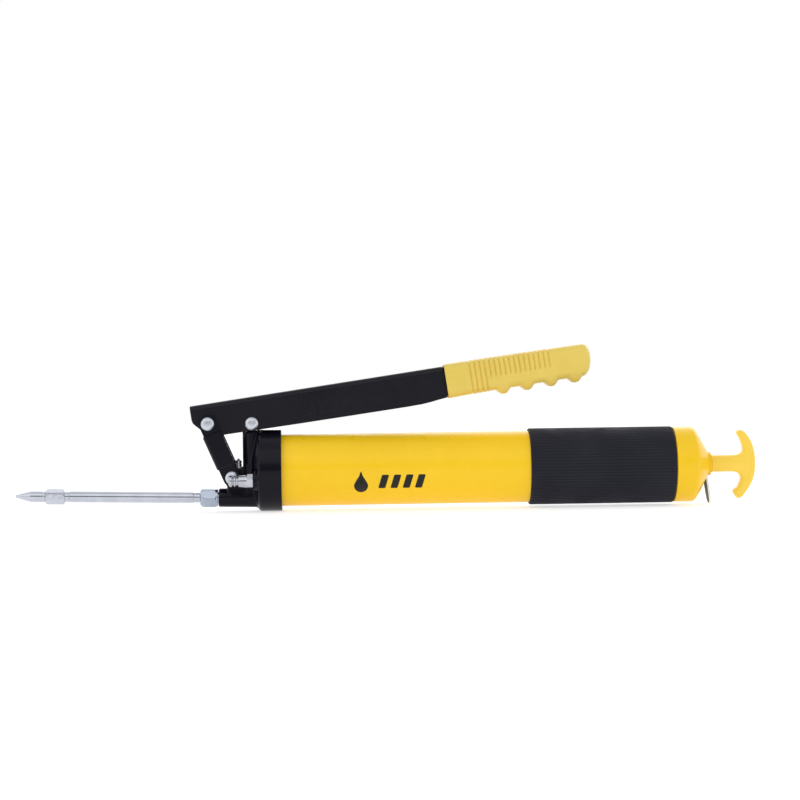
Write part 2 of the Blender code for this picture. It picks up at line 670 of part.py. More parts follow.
def build_rod(gun, looks):
    rod = turned("follower_rod", looks["ground_steel"], [
        (0, ROD_BACK), (ROD_R - 0.4, ROD_BACK), (ROD_R, ROD_BACK - 0.4), (ROD_R, 1.6),
        (6.0, 1.6), (6.0, 0.0), (ROD_R, 0.0), (ROD_R, -6.5), (3.5, -6.5), (3.5, -12.8),
        (0, -12.8),
    ], MEDIUM)
    place(rod, gun, (0, 0, 0), ALONG_X)
    nut = turned("follower_nut", looks["bright_zinc"], [
        (0, -6.7), (7.4, -6.7), (7.4, -11.2), (0, -11.2),
    ], 6)
    place(nut, gun, (0, 0, 0), ALONG_X)
    cut(nut, place(drill("follower_nut_bore", 3.65, -12.0, -6.0), gun, (0, 0, 0), ALONG_X))

    arms = plate("t_handle", looks["yellow_plastic"], [
        (367.2, 26.7), (370.9, 24.6), (374.4, 19.6), (376.9, 13.6), (378.3, 7.0),
        (HANDLE_BACK, 0.0), (377.9, -8.1), (375.8, -14.8), (372.3, -20.6), (368.0, -26.4),
        (365.3, -27.9), (363.2, -27.1), (360.9, -23.0), (361.6, -20.5), (364.4, -18.4),
        (366.3, -14.3), (367.0, -11.2), (365.0, -7.8), (362.4, -6.0), (362.4, 6.0),
        (365.8, 7.5), (368.5, 9.8), (368.7, 13.3), (367.0, 19.2), (364.5, 24.0), (365.0, 26.0),
    ], 12.0)
    place(arms, gun, (0, 0, 0), ALONG_Y)
    rounding = arms.modifiers.new("soft_edges", "BEVEL")
    rounding.width = 1.8 * MM
    rounding.segments = 2
    rounding.limit_method = "ANGLE"
    rounding.angle_limit = math.radians(60)
    stem = turned("handle_stem", None, [
        (0, 372.0), (STEM_R, 372.0), (STEM_R, HANDLE_FRONT), (0, HANDLE_FRONT),
    ], MEDIUM)
    bore = drill("handle_bore", ROD_R + 0.25, HANDLE_FRONT - 2, ROD_BACK + 1.5)
    join(arms, place(stem, gun, (0, 0, 0), ALONG_X))
    cut(arms, place(bore, gun, (0, 0, 0), ALONG_X))


# ---------------------------------------------------------------- whole object

LOOKS = (
    ("yellow_paint", (0.90, 0.56, 0.03), 0.30, 0.0),
    ("yellow_plastic", (0.95, 0.60, 0.07), 0.40, 0.0),
    ("yellow_vinyl", (0.80, 0.60, 0.12), 0.55, 0.0),
    ("black_paint", (0.02, 0.02, 0.025), 0.32, 0.0),
    ("black_rubber", (0.025, 0.025, 0.03), 0.60, 0.0),
    ("nitrile", (0.02, 0.02, 0.02), 0.70, 0.0),
    ("bright_zinc", (0.62, 0.66, 0.72), 0.28, 1.0),
    ("nickel_plate", (0.75, 0.76, 0.78), 0.20, 1.0),
    ("pin_steel", (0.70, 0.71, 0.76), 0.30, 1.0),
    ("bearing_steel", (0.72, 0.72, 0.74), 0.15, 1.0),
    ("spring_steel", (0.45, 0.45, 0.47), 0.35, 1.0),
    ("ground_steel", (0.62, 0.62, 0.64), 0.30, 1.0),
    ("chrome", (0.80, 0.80, 0.82), 0.10, 1.0),
)


def main():
    clear_scene()
    make_collection(PARTS)
    make_collection(CUTTERS)
    looks = {name: make_look(name, *values) for name, *values in LOOKS}

    gun = make_frame("gun_frame", (-CENTRE_X, 0, BASE_DROP))
    spout = make_frame("spout_frame", (SPOUT_START[0], 0, SPOUT_START[1]), gun, SPOUT_TILT)
    filler = make_frame("filler_frame", FILLER_AT, gun, FILLER_TILT)
    run = LEVER_PIN[0] - LINK_PIN[0]
    rise = LEVER_PIN[1] - LINK_PIN[1]
    link_tilt = math.degrees(math.atan2(run, rise))
    link = make_frame("link_frame", (LINK_PIN[0], 0, LINK_PIN[1]), gun, link_tilt)
    arm = make_frame("lever_frame", (LEVER_PIN[0], 0, LEVER_PIN[1]), gun, -LEVER_TILT)
    lock = make_frame("lock_frame", (TAB_TOP[0], 0, TAB_TOP[1]), gun, -TAB_LEAN)

    build_head(gun, spout, filler, looks)
    build_spout(spout, looks)
    build_filler(filler, looks)
    build_bleeder(gun, looks)
    build_link(link, math.hypot(run, rise), looks)
    build_lever(gun, arm, looks)
    build_grip(arm, looks)
    build_plunger(gun, looks)
    strap_outside = LINK_INNER_WIDTH / 2 + LINK_WALL
    build_pin("lower_link_pin", gun, LINK_PIN, strap_outside, looks)
    build_pin("upper_link_pin", gun, LEVER_PIN, strap_outside, looks)
    build_pin("plunger_pin", gun, PLUNGER_PIN, LEVER_WIDTH / 2, looks)
    build_barrel(gun, looks)
    build_lock_tab(lock, looks)
    build_follower(gun, looks)
    build_rod(gun, looks)


main()
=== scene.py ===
"""Looks for the lever-type grease gun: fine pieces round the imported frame, materials, light and camera.

Shapes are drawn in millimetres in the drawing frame: its X axis is the barrel's axis, X = 0 is the
rear edge of the head's collar, the nozzle points to -X and the lever is above (+Z). AXIS is where that
frame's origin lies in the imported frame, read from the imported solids.
"""

import json
from itertools import product
from math import atan2, cos, degrees, hypot, pi, radians, sin, tan, tau

import bpy
import numpy as np
from mathutils import Matrix, Vector


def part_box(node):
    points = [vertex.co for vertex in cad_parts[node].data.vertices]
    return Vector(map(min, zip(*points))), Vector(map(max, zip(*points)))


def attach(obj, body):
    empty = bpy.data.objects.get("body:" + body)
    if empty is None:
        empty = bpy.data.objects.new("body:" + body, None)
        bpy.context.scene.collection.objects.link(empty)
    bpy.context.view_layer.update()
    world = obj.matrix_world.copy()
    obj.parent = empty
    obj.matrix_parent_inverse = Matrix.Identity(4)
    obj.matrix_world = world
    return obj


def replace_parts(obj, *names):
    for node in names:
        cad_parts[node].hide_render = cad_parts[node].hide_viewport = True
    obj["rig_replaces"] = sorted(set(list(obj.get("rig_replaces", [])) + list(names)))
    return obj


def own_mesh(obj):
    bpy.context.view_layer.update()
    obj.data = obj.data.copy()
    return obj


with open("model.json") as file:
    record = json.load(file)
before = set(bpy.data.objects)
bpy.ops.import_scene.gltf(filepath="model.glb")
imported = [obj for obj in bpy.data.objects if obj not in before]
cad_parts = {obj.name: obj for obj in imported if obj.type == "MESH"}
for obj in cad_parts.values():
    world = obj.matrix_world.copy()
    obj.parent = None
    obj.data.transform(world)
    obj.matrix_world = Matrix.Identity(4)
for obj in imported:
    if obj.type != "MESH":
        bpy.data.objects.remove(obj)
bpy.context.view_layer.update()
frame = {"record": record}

MM = 0.001
BODY_OF = {
    node: body for body, nodes in frame["record"]["behaviour"]["bodies"].items() for node in nodes
}
BARREL_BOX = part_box("barrel")
AXIS = Vector((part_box("pump_head")[1].x, 0.0, (BARREL_BOX[0].z + BARREL_BOX[1].z) / 2))

# Pins of the linkage, as (X, Z), and the tilted frames, as (X, Z, degrees about Y)
LINK_PIN = (-39.3, -5.2)
LEVER_PIN = (-57.9, 37.6)
PLUNGER_PIN = (-23.2, 37.4)
PIN_HOLE = 3.08
STRAP_OUTSIDE = 13.9
SPOUT = (-26.0, -21.57, 1.222)
FILLER = (-22.4, -7.75, 0.5)
FILLER_SIDE = -21.6
LEAN = degrees(atan2(LEVER_PIN[0] - LINK_PIN[0], LEVER_PIN[1] - LINK_PIN[1]))
LINK = (*LINK_PIN, LEAN)
LEVER = (*LEVER_PIN, -8.2)
LOCK = (335.6, 11.0, -8.2)
LINK_LENGTH = hypot(LEVER_PIN[0] - LINK_PIN[0], LEVER_PIN[1] - LINK_PIN[1])
BLEEDER_X = -34.4

ALONG_X = Matrix.Rotation(radians(90), 4, "Y")
ALONG_Y = Matrix.Rotation(radians(90), 4, "X")


def frame_at(x=0.0, z=0.0, tilt=0.0, y=0.0):
    """Places millimetres of a drawing frame, turned about Y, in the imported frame's metres."""
    shift = Matrix.Translation(AXIS + Vector((x, y, z)) * MM)
    return shift @ Matrix.Rotation(radians(tilt), 4, "Y") @ Matrix.Scale(MM, 4)


BARREL = frame_at() @ ALONG_X


# ---- pieces

def link_object(name, data):
    thing = bpy.data.objects.new(name, data)
    bpy.context.scene.collection.objects.link(thing)
    return thing


def link_mesh(name, points, faces, place):
    """A mesh in the scene; its points are in millimetres in the frame given."""
    matrix = np.array(place)
    spots = np.asarray(points, float) @ matrix[:3, :3].T + matrix[:3, 3]
    mesh = bpy.data.meshes.new(name)
    mesh.from_pydata(spots.tolist(), [], [list(map(int, face)) for face in faces])
    return link_object(name, mesh)


def add_piece(name, points, faces, place, look, body):
    """A smooth piece with one of LOOKS that rides on a body."""
    thing = link_mesh(name, points, faces, place)
    thing.data.validate()
    thing.data.materials.append(LOOKS[look])
    thing.data.shade_smooth()
    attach(thing, body)
    return thing


def stand_in(node, points, faces, place, look):
    """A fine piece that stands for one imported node."""
    thing = add_piece(node + "_fine", points, faces, place, look, BODY_OF[node])
    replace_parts(thing, node)
    return thing


def even_normals(thing):
    """Shade flat faces flat where they meet rounded edges."""
    step = thing.modifiers.new("even_normals", "WEIGHTED_NORMAL")
    step.keep_sharp = True


def ease_edges(thing, width):
    """Break the piece's edges with a small round of that many millimetres."""
    edge = thing.modifiers.new("edge", "BEVEL")
    edge.width = width * MM
    edge.segments = 2
    return edge


def stand_turned(node, profile, place, look, segments=96):
    """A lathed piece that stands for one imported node."""
    even_normals(stand_in(node, *lathe(profile, segments), place, look))


def stand_formed(node, distance, low, high, step, place, look):
    """The skin of a distance function, found inside a box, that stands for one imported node."""
    stand_in(node, *surface_of(distance, low, high, step), place, look)


def carve(thing, operation, *tools):
    """Exact booleans with throwaway tool objects, applied at once."""
    for tool in tools:
        step = thing.modifiers.new(operation.lower(), "BOOLEAN")
        step.operation = operation
        step.solver = "EXACT"
        step.object = tool
    bpy.context.view_layer.update()
    solved = thing.evaluated_get(bpy.context.evaluated_depsgraph_get())
    mesh = bpy.data.meshes.new_from_object(solved)
    thing.modifiers.clear()
    thing.data = mesh
    for tool in tools:
        bpy.data.objects.remove(tool, do_unlink=True)


def sharpen_carved(thing):
    """Keep the cut edges crisp on a smooth piece."""
    thing.data.set_sharp_from_angle(angle=radians(50))
    even_normals(thing)


# ---- drawn shapes

CORNER_STEPS = 3


def soften(points, radius=0.3, closed=True):
    """Round the corners of an outline; a point may carry its own radius as a third number."""
    rounded = []
    last = len(points) - 1
    for index, point in enumerate(points):
        here = Vector(point[:2])
        own = point[2] if len(point) > 2 else radius
        if not closed and index in (0, last):
            rounded.append(tuple(here))
            continue
        back = Vector(points[index - 1][:2]) - here
        ahead = Vector(points[(index + 1) % len(points)][:2]) - here
        turn = pi - back.angle(ahead)
        if turn < 0.14:
            rounded.append(tuple(here))
            continue
        reach = min(own * tan(turn / 2), 0.45 * back.length, 0.45 * ahead.length)
        start = here + back.normalized() * reach
        stop = here + ahead.normalized() * reach
        for step in range(CORNER_STEPS + 1):
            t = step / CORNER_STEPS
            rounded.append(tuple(start * (1 - t) ** 2 + here * 2 * t * (1 - t) + stop * t * t))
    return rounded


def arc(centre, radius, start, stop, steps):
    points = []
    for index in range(steps + 1):
        angle = radians(start + (stop - start) * index / steps)
        points.append((centre[0] + radius * cos(angle), centre[1] + radius * sin(angle)))
    return points


def flowing(points, steps=4):
    """A closed outline through the points, smoothed as a Catmull-Rom curve."""
    smooth = []
    count = len(points)
    for index in range(count):
        a, b, c, d = (Vector(points[(index + k) % count]) for k in (-1, 0, 1, 2))
        for step in range(steps):
            t = step / steps
            smooth.append(tuple(0.5 * (
                2 * b + (c - a) * t + (2 * a - 5 * b + 4 * c - d) * t * t
                + (3 * b - a - 3 * c + d) * t ** 3
            )))
    return smooth


def lathe(profile, segments=96, wobble=None):
    """Turn a closed outline of (radius, height) about Z; points on the axis become poles."""
    points = []
    rows = []
    angles = [tau * index / segments for index in range(segments)]
    for radius, height in profile:
        if radius < 1e-6:
            rows.append([len(points)] * segments)
            points.append((0.0, 0.0, height))
            continue
        rows.append(list(range(len(points), len(points) + segments)))
        for angle in angles:
            reach = radius + (wobble(angle, radius, height) if wobble else 0.0)
            points.append((reach * cos(angle), reach * sin(angle), height))
    faces = []
    for first, second in zip(rows, rows[1:] + rows[:1]):
        if first[0] == first[1] and second[0] == second[1]:
            continue
        for index in range(segments):
            ahead = (index + 1) % segments
            corners = [first[index], second[index], second[ahead], first[ahead]]
            face = list(dict.fromkeys(corners))
            if len(face) > 2:
                faces.append(face)
    return points, faces


def loft(rings):
    """Skin a row of equal closed rings, with flat ends."""
    count = len(rings[0])
    points = [tuple(point) for ring in rings for point in ring]
    faces = []
    for row in range(len(rings) - 1):
        for index in range(count):
            ahead = (index + 1) % count
            here = row * count
            above = here + count
            faces.append([here + index, here + ahead, above + ahead, above + index])
    faces.append(list(range(count))[::-1])
    faces.append([len(points) - count + index for index in range(count)])
    return points, faces


def slab(outline, low, high):
    """A flat outline in local XY between two heights."""
    return loft([[(x, y, low) for x, y in outline], [(x, y, high) for x, y in outline]])


def slabs(outlines, low, high):
    """Several flat outlines between the same two heights, as one mesh."""
    points = []
    faces = []
    for outline in outlines:
        more_points, more_faces = slab(outline, low, high)
        faces += [[corner + len(points) for corner in face] for face in more_faces]
        points += more_points
    return points, faces


def coil_line(radius, wire, low, high, turns, steps=32):
    """The centre line of a helical spring about Z with closed end turns; wire is its radius."""
    total = steps * turns
    points = []
    for index in range(total + 1):
        angle = tau * index / steps
        share = min(max((index - steps) / (total - 2 * steps), 0.0), 1.0)
        lift = 2.1 * wire * (min(index, steps) + max(index - total + steps, 0)) / steps
        rise = low + wire + lift + share * (high - low - 6.2 * wire)
        points.append(Vector((radius * cos(angle), radius * sin(angle), rise)))
    return points


def tube(line, radius, sides=12):
    """A round wire along a line, with slightly rounded ends."""
    rings = []
    for index, point in enumerate(line):
        run = (line[min(index + 1, len(line) - 1)] - line[max(index - 1, 0)]).normalized()
        out = Vector((point.x, point.y, 0.0)).normalized()
        side = run.cross(out).normalized()
        out = side.cross(run)
        size = radius * (0.75 if index in (0, len(line) - 1) else 1.0)
        rings.append([
            point + (out * cos(a) + side * sin(a)) * size
            for a in (tau * k / sides for k in range(sides))
        ])
    return loft(rings)


# ---- cast and moulded shapes

def smin(a, b, k):
    """The nearer of two distances, blended where they are within k of each other."""
    share = np.clip(0.5 + 0.5 * (b - a) / k, 0.0, 1.0)
    return b + (a - b) * share - k * share * (1 - share)


def smax(a, b, k):
    return -smin(-a, -b, k)


def beyond(a, b):
    """How far a place lies outside the corner of two limits."""
    return np.hypot(np.maximum(a, 0.0), np.maximum(b, 0.0))


def rounded_pair(a, b, radius):
    """Where two limits meet, with the edge between them rounded."""
    a = a + radius
    b = b + radius
    return beyond(a, b) + np.minimum(np.maximum(a, b), 0.0) - radius


def span(value, low, high):
    """Signed distance to a stretch of a line, negative inside it."""
    return abs(value - (low + high) / 2) - (high - low) / 2


def post(reach, height, radius, low, high, rounding=0.0):
    """A cylinder, from the distance to its axis and the height along it."""
    return rounded_pair(reach - radius, span(height, low, high), rounding)


def within(a, b, outline):
    """Signed distance to a closed outline, negative inside it."""
    shape = np.broadcast_shapes(np.shape(a), np.shape(b))
    best = np.full(shape, 1e9)
    side = np.ones(shape)
    for (x0, y0), (x1, y1) in zip(outline, outline[1:] + outline[:1]):
        ex = x1 - x0
        ey = y1 - y0
        size = ex * ex + ey * ey
        if size < 1e-12:
            continue
        px = a - x0
        py = b - y0
        t = np.clip((px * ex + py * ey) / size, 0.0, 1.0)
        best = np.minimum(best, (px - t * ex) ** 2 + (py - t * ey) ** 2)
        above = b >= y0
        below = b < y1
        left = ex * py > ey * px
        side = np.where((above & below & left) | ~(above | below | left), -side, side)
    return side * np.sqrt(best)


def hexagon(a, b, flat, turn):
    """A hexagonal bar; one flat's normal is turned by that angle from the first axis."""
    limits = []
    for step in range(3):
        angle = radians(turn + 60 * step)
        limits.append(abs(a * cos(angle) + b * sin(angle)) - flat)
    return smax(smax(limits[0], limits[1], 0.3), limits[2], 0.3)


def local(x, z, place):
    """Drawing coordinates seen from a tilted frame."""
    cosine = cos(radians(place[2]))
    sine = sin(radians(place[2]))
    dx = x - place[0]
    dz = z - place[1]
    return cosine * dx - sine * dz, sine * dx + cosine * dz


def surface_of(distance, low, high, step):
    """Points and quads of the surface where a distance function is zero, inside a box."""
    low = np.array(low, float)
    counts = np.ceil((np.array(high) - low) / step).astype(int) + 1
    axes = [low[i] + step * np.arange(counts[i]) for i in range(3)]
    value = distance(*np.meshgrid(*axes, indexing="ij", sparse=True))
    value = np.broadcast_to(value, tuple(counts))
    inside = value < 0
    cells = tuple(counts - 1)
    corner = {
        key: value[tuple(slice(key[i], key[i] + cells[i]) for i in range(3))]
        for key in product((0, 1), repeat=3)
    }
    # A cell's point is the mean of the places where the surface crosses the cell's edges
    total = np.zeros((*cells, 3))
    hits = np.zeros(cells)
    for start in corner:
        for axis in range(3):
            if start[axis]:
                continue
            stop = tuple(1 if i == axis else start[i] for i in range(3))
            a = corner[start]
            b = corner[stop]
            cross = (a < 0) != (b < 0)
            share = np.where(cross, a / np.where(cross, a - b, 1.0), 0.0)
            for i in range(3):
                total[..., i] += cross * (start[i] + (share if i == axis else 0.0))
            hits += cross
    used = hits > 0
    number = np.full(cells, -1)
    number[used] = np.arange(used.sum())
    points = low + step * (np.argwhere(used) + total[used] / hits[used][:, None])
    # Each crossed grid edge joins the points of the four cells round it
    quads = []
    for axis in range(3):
        order = (axis, (axis + 1) % 3, (axis + 2) % 3)
        solid = np.transpose(inside, order)
        label = np.transpose(number, order)
        inner = solid[:-1, 1:-1, 1:-1]
        i, j, k = np.nonzero(inner != solid[1:, 1:-1, 1:-1])
        around = [label[i, j, k], label[i, j + 1, k], label[i, j + 1, k + 1], label[i, j, k + 1]]
        quad = np.stack(around, 1)
        quad[~inner[i, j, k]] = quad[~inner[i, j, k]][:, ::-1]
        quads.append(quad)
    # Slide the points along the slope onto the surface
    nudge = 0.02
    for _ in range(4):
        off = distance(*points.T)
        slope = np.empty_like(points)
        for i in range(3):
            shift = np.zeros(3)
            shift[i] = nudge
            ahead = distance(*(points + shift).T)
            slope[:, i] = (ahead - distance(*(points - shift).T)) / (2 * nudge)
        size = np.maximum((slope ** 2).sum(1), 0.3)
        points = points - slope * np.clip(off / size, -step / 2, step / 2)[:, None]
    return points, np.concatenate(quads)


# ---- materials

class Wiring:
    """Short calls for wiring a node tree."""

    def __init__(self, tree):
        self.tree = tree

    def add(self, kind, **settings):
        node = self.tree.nodes.new("ShaderNode" + kind)
        for key, value in settings.items():
            setattr(node, key, value)
        return node

    def link(self, source, target):
        self.tree.links.new(source, target)

    def plug(self, socket, value):
        """Link a socket to another one, or set its number or colour."""
        if isinstance(value, bpy.types.NodeSocket):
            self.link(value, socket)
        else:
            socket.default_value = (*value, 1.0) if isinstance(value, tuple) else value

    def remap(self, source, *limits):
        """Map a range to another with soft ends; limits are from low, from high, to low, to high."""
        node = self.add("MapRange", interpolation_type="SMOOTHSTEP")
        for key, value in zip(("From Min", "From Max", "To Min", "To Max"), limits):
            node.inputs[key].default_value = value
        self.link(source, node.inputs["Value"])
        return node.outputs["Result"]

    def math(self, operation, a, b=0.0):
        node = self.add("Math", operation=operation)
        for socket, value in zip(node.inputs, (a, b)):
            self.plug(socket, value)
        return node.outputs[0]


class Look(Wiring):
    """One material, wired to its Principled shader."""

    def __init__(self, name):
        self.material = bpy.data.materials.new(name)
        self.material.use_nodes = True
        super().__init__(self.material.node_tree)
        self.shader = self.tree.nodes["Principled BSDF"]
        self.where = self.add("TexCoord").outputs["Object"]

    def noise(self, scale, detail=3.0, stretch=(1.0, 1.0, 1.0)):
        """Noise with that many cells to the metre, drawn out along an axis by stretch."""
        mapping = self.add("Mapping")
        mapping.inputs["Scale"].default_value = stretch
        node = self.add("TexNoise")
        node.inputs["Scale"].default_value = scale
        node.inputs["Detail"].default_value = detail
        self.link(self.where, mapping.inputs["Vector"])
        self.link(mapping.outputs["Vector"], node.inputs["Vector"])
        return node.outputs["Fac"]

    def patches(self, scale, detail, low, high, least=0.0, most=1.0):
        """Noise with its middle range, from low to high, spread between least and most."""
        return self.remap(self.noise(scale, detail), low, high, least, most)

    def blend(self, share, first, second):
        node = self.add("Mix", data_type="RGBA")
        self.link(share, node.inputs["Factor"])
        for key, value in (("A", first), ("B", second)):
            self.plug(next(s for s in node.inputs if s.name == key and s.type == "RGBA"), value)
        return next(s for s in node.outputs if s.type == "RGBA")

    def bump(self, height, strength, depth, under=None):
        node = self.add("Bump")
        node.inputs["Strength"].default_value = strength
        node.inputs["Distance"].default_value = depth
        self.link(height, node.inputs["Height"])
        if under is not None:
            self.link(under, node.inputs["Normal"])
        return node.outputs["Normal"]

    def edges(self, sharp, noise_scale):
        """How exposed an edge is, broken up by noise."""
        bend = self.add("NewGeometry").outputs["Pointiness"]
        raised = self.remap(bend, 0.5 + sharp / 2, 0.5 + 2 * sharp, 0.0, 1.0)
        return self.math("MULTIPLY", raised, self.patches(noise_scale, 3.0, 0.42, 0.6))

    def set(self, **values):
        """Link or set the shader's sockets, named with underscores for spaces."""
        for key, value in values.items():
            self.plug(self.shader.inputs[key.replace("_", " ")], value)


def paint(name, light, shade, gloss, specular, worn, fleck=0.15):
    """Sprayed enamel: faint cloudiness, orange peel, tiny dust and slightly rubbed edges."""
    look = Look(name)
    cloud = look.blend(look.patches(22.0, 3.0, 0.35, 0.65), shade, light)
    dust = look.blend(look.patches(2600.0, 2.0, 0.70, 0.76, 0.0, fleck), cloud, worn)
    rubbed = look.blend(look.math("MULTIPLY", look.edges(0.05, 700.0), 0.5), dust, worn)
    rough = look.patches(160.0, 5.0, 0.3, 0.7, gloss - 0.03, gloss + 0.05)
    peel = look.bump(look.noise(420.0, 2.0), 0.06, 0.0004)
    look.set(Base_Color=rubbed, Roughness=rough, Specular_IOR_Level=specular)
    look.set(Normal=look.bump(look.noise(2400.0, 2.0), 0.03, 0.0001, peel))
    return look.material


def metal(name, light, shade, rough, hairline, stretch=(0.03, 1.0, 1.0)):
    """Bare or plated metal: cloudy plating, hairline finish and darker specks."""
    look = Look(name)
    plating = look.blend(look.patches(90.0, 4.0, 0.35, 0.68), shade, light)
    specks = look.patches(900.0, 5.0, 0.64, 0.80, 0.0, 0.25)
    look.set(Base_Color=look.blend(specks, plating, (0.30, 0.29, 0.28)), Metallic=1.0)
    look.set(Roughness=look.patches(350.0, 6.0, 0.3, 0.7, rough - 0.05, rough + 0.07))
    grain = look.bump(look.noise(700.0, 3.0), 0.02, 0.0002)
    look.set(Normal=look.bump(look.noise(4200.0, 2.0, stretch), hairline, 0.00005, grain))
    return look.material


def moulded(name, light, shade, speck, rough, grain_scale, grain, sheen=0.0, specular=0.3):
    """Moulded plastic, vinyl or rubber: soft tone changes, fine surface grain, handling gloss."""
    look = Look(name)
    tone = look.blend(look.patches(30.0, 4.0, 0.35, 0.65), shade, light)
    specks = look.patches(1500.0, 3.0, 0.64, 0.74, 0.0, 0.25)
    rubbed = look.patches(55.0, 3.0, 0.4, 0.62, rough - 0.05, rough + 0.07)
    look.set(Base_Color=look.blend(specks, tone, speck), Roughness=rubbed, Sheen_Weight=sheen)
    look.set(Normal=look.bump(look.noise(grain_scale, 3.0), grain, 0.00015),
             Specular_IOR_Level=specular)
    return look.material


def sheet_with_painted_shade(name, face, edge, rough):
    """Sheet steel with its faces, square to X, painted dark as shade, and bright bare edges."""
    look = Look(name)
    split = look.add("SeparateXYZ")
    look.link(look.add("NewGeometry").outputs["True Normal"], split.inputs[0])
    # Mask of the faces square to X; their dark, non-metallic colour is painted shade
    face_shade_mask = look.remap(look.math("ABSOLUTE", split.outputs["X"]), 0.55, 0.85, 0.0, 1.0)
    # The faces' painted shade, made cloudy by noise
    cloudy_face_shade = look.blend(look.patches(260.0, 4.0, 0.38, 0.64, 0.0, 0.5), face, (0.22, 0.20, 0.18))
    gloss = look.patches(350.0, 5.0, 0.3, 0.7, rough - 0.06, rough + 0.08)
    look.set(Base_Color=look.blend(face_shade_mask, edge, cloudy_face_shade),
             Metallic=look.math("SUBTRACT", 1.0, face_shade_mask), Specular_IOR_Level=0.1,
             Roughness=look.math("ADD", gloss, look.math("MULTIPLY", face_shade_mask, 0.4)),
             Normal=look.bump(look.noise(3000.0, 2.0, (1.0, 1.0, 0.05)), 0.05, 0.00005))
    return look.material


LOOKS = {
    "yellow_paint": paint("barrel_enamel", (0.965, 0.612, 0.013), (0.94, 0.588, 0.011), 0.30, 0.30,
                          (0.95, 0.66, 0.07)),
    "black_paint": paint("head_enamel", (0.0045, 0.0041, 0.0092), (0.0036, 0.0032, 0.0076), 0.20, 0.16,
                         (0.020, 0.020, 0.026)),
    "lever_paint": paint("lever_enamel", (0.0092, 0.0088, 0.0135), (0.0075, 0.0070, 0.0112), 0.26, 0.18,
                         (0.026, 0.026, 0.032), 0.08),
    "yellow_plastic": moulded("handle_plastic", (0.98, 0.675, 0.085), (0.95, 0.640, 0.070),
                              (0.98, 0.72, 0.12), 0.36, 1800.0, 0.08),
    "yellow_vinyl": moulded("grip_vinyl", (0.81, 0.60, 0.118), (0.77, 0.565, 0.100),
                            (0.84, 0.655, 0.16), 0.42, 2600.0, 0.12, 0.04, 0.38),
    "black_rubber": moulded("sleeve_rubber", (0.023, 0.023, 0.033), (0.019, 0.019, 0.027),
                            (0.035, 0.035, 0.046), 0.55, 3200.0, 0.20, 0.0, 0.10),
    "nitrile": moulded("seal_nitrile", (0.020, 0.020, 0.020), (0.012, 0.012, 0.012),
                       (0.030, 0.030, 0.030), 0.55, 2200.0, 0.2),
    "bright_zinc": metal("zinc_plate", (0.46, 0.51, 0.60), (0.41, 0.46, 0.55), 0.17, 0.05),
    "tube_zinc": metal("zinc_tube", (0.58, 0.60, 0.66), (0.53, 0.55, 0.61), 0.13, 0.03),
    "nickel_plate": metal("nickel_plate_bright", (0.61, 0.62, 0.67), (0.50, 0.51, 0.56), 0.10, 0.03),
    "pin_steel": metal("pin_steel_plated", (0.62, 0.64, 0.70), (0.57, 0.59, 0.65), 0.36, 0.02,
                       (1.0, 0.03, 1.0)),
    "bearing_steel": metal("ball_steel", (0.70, 0.71, 0.74), (0.64, 0.65, 0.68), 0.12, 0.02),
    "spring_steel": metal("spring_wire", (0.42, 0.41, 0.41), (0.34, 0.34, 0.36), 0.30, 0.10),
    "ground_steel": metal("rod_steel", (0.60, 0.61, 0.64), (0.54, 0.55, 0.58), 0.22, 0.12),
    # The lock tab: its faces are painted dark as shade, its edges are bright bare metal
    "chrome": sheet_with_painted_shade("tab_steel", (0.16, 0.15, 0.135), (0.86, 0.86, 0.86), 0.22),
    "ink": moulded("print_ink", (0.010, 0.010, 0.010), (0.006, 0.006, 0.006), (0.03, 0.03, 0.03),
                   0.34, 2500.0, 0.1),
}


# ---- pump head

def head_distance(x, y, z):
    """The casting: cup, pump cylinder, outlet, pivot lug and filler boss with cast fillets."""
    reach = np.hypot(y, z)
    from_pump = np.hypot(x - PLUNGER_PIN[0], y)
    from_pin = np.hypot(x - LINK_PIN[0], z - LINK_PIN[1])
    from_bleeder = np.hypot(x - BLEEDER_X, y)
    sx, sz = local(x, z, SPOUT)
    from_spout = np.hypot(y, sz)
    fx, fz = local(x, z, FILLER)
    from_filler = np.hypot(y - FILLER_SIDE, fz)

    dome = np.sqrt((x - 81.9) ** 2 + reach ** 2) - 105.0
    shape = smax(post(reach, x, 32.2, -30.0, 0.0, 0.7), dome, 2.2)
    shape = smin(shape, post(from_pump, z, 7.8, -24.0, 31.0, 0.8), 3.0)
    outlet = post(from_spout, sx, 7.4, -24.4, 8.0, 0.9)
    web_outline = [
        (-44.2, -10.5), (-42.0, -17.0), (-22.0, -17.0), (-22.0, 5.0), (-28.6, 4.4), (-29.4, 1.8),
        (-38.0, 1.8), (-41.0, -0.5),
    ]
    web = rounded_pair(within(x, z, web_outline), abs(y) - 6.0, 1.2)
    shape = smin(shape, smin(outlet, web, 2.2), 2.6)
    shape = smin(shape, post(from_pin, y, 6.3, -10.8, 10.8, 0.6), 1.5)
    shape = smin(shape, post(from_filler, fx, 7.0, 0.3, 6.5, 0.6), 1.6)

    # The pump's bore, the barrel's socket, the seal's groove, the passages to the barrel and the
    # outlet, the outlet valve and pipe sockets, and the holes of pin, nipple and bleeder
    drilled = post(from_pump, z, 4.58, -9.5, 33.0)
    for hole in (
        post(reach, x, 28.8, -13.5, 4.0, 0.3), post(from_pump, z, 6.3, 24.0, 27.0),
        post(from_pump, z, 2.2, -21.8, 0.0), post(np.hypot(y, z - 12.0), x, 2.5, -22.0, -8.0),
        post(from_spout, sx, 1.9, -3.0, 3.1), post(from_spout, sx, 3.2, -14.0, -1.5),
        post(from_spout, sx, 4.8, -27.0, -13.2), post(from_pin, y, PIN_HOLE, -13.0, 13.0),
        post(from_filler, fx, 3.7, -3.0, 14.0), post(from_bleeder, z, 2.15, -2.9, 5.0),
        post(from_bleeder, z, 1.1, -21.4, 0.0),
    ):
        drilled = np.minimum(drilled, hole)
    return smax(shape, -drilled, 0.5)


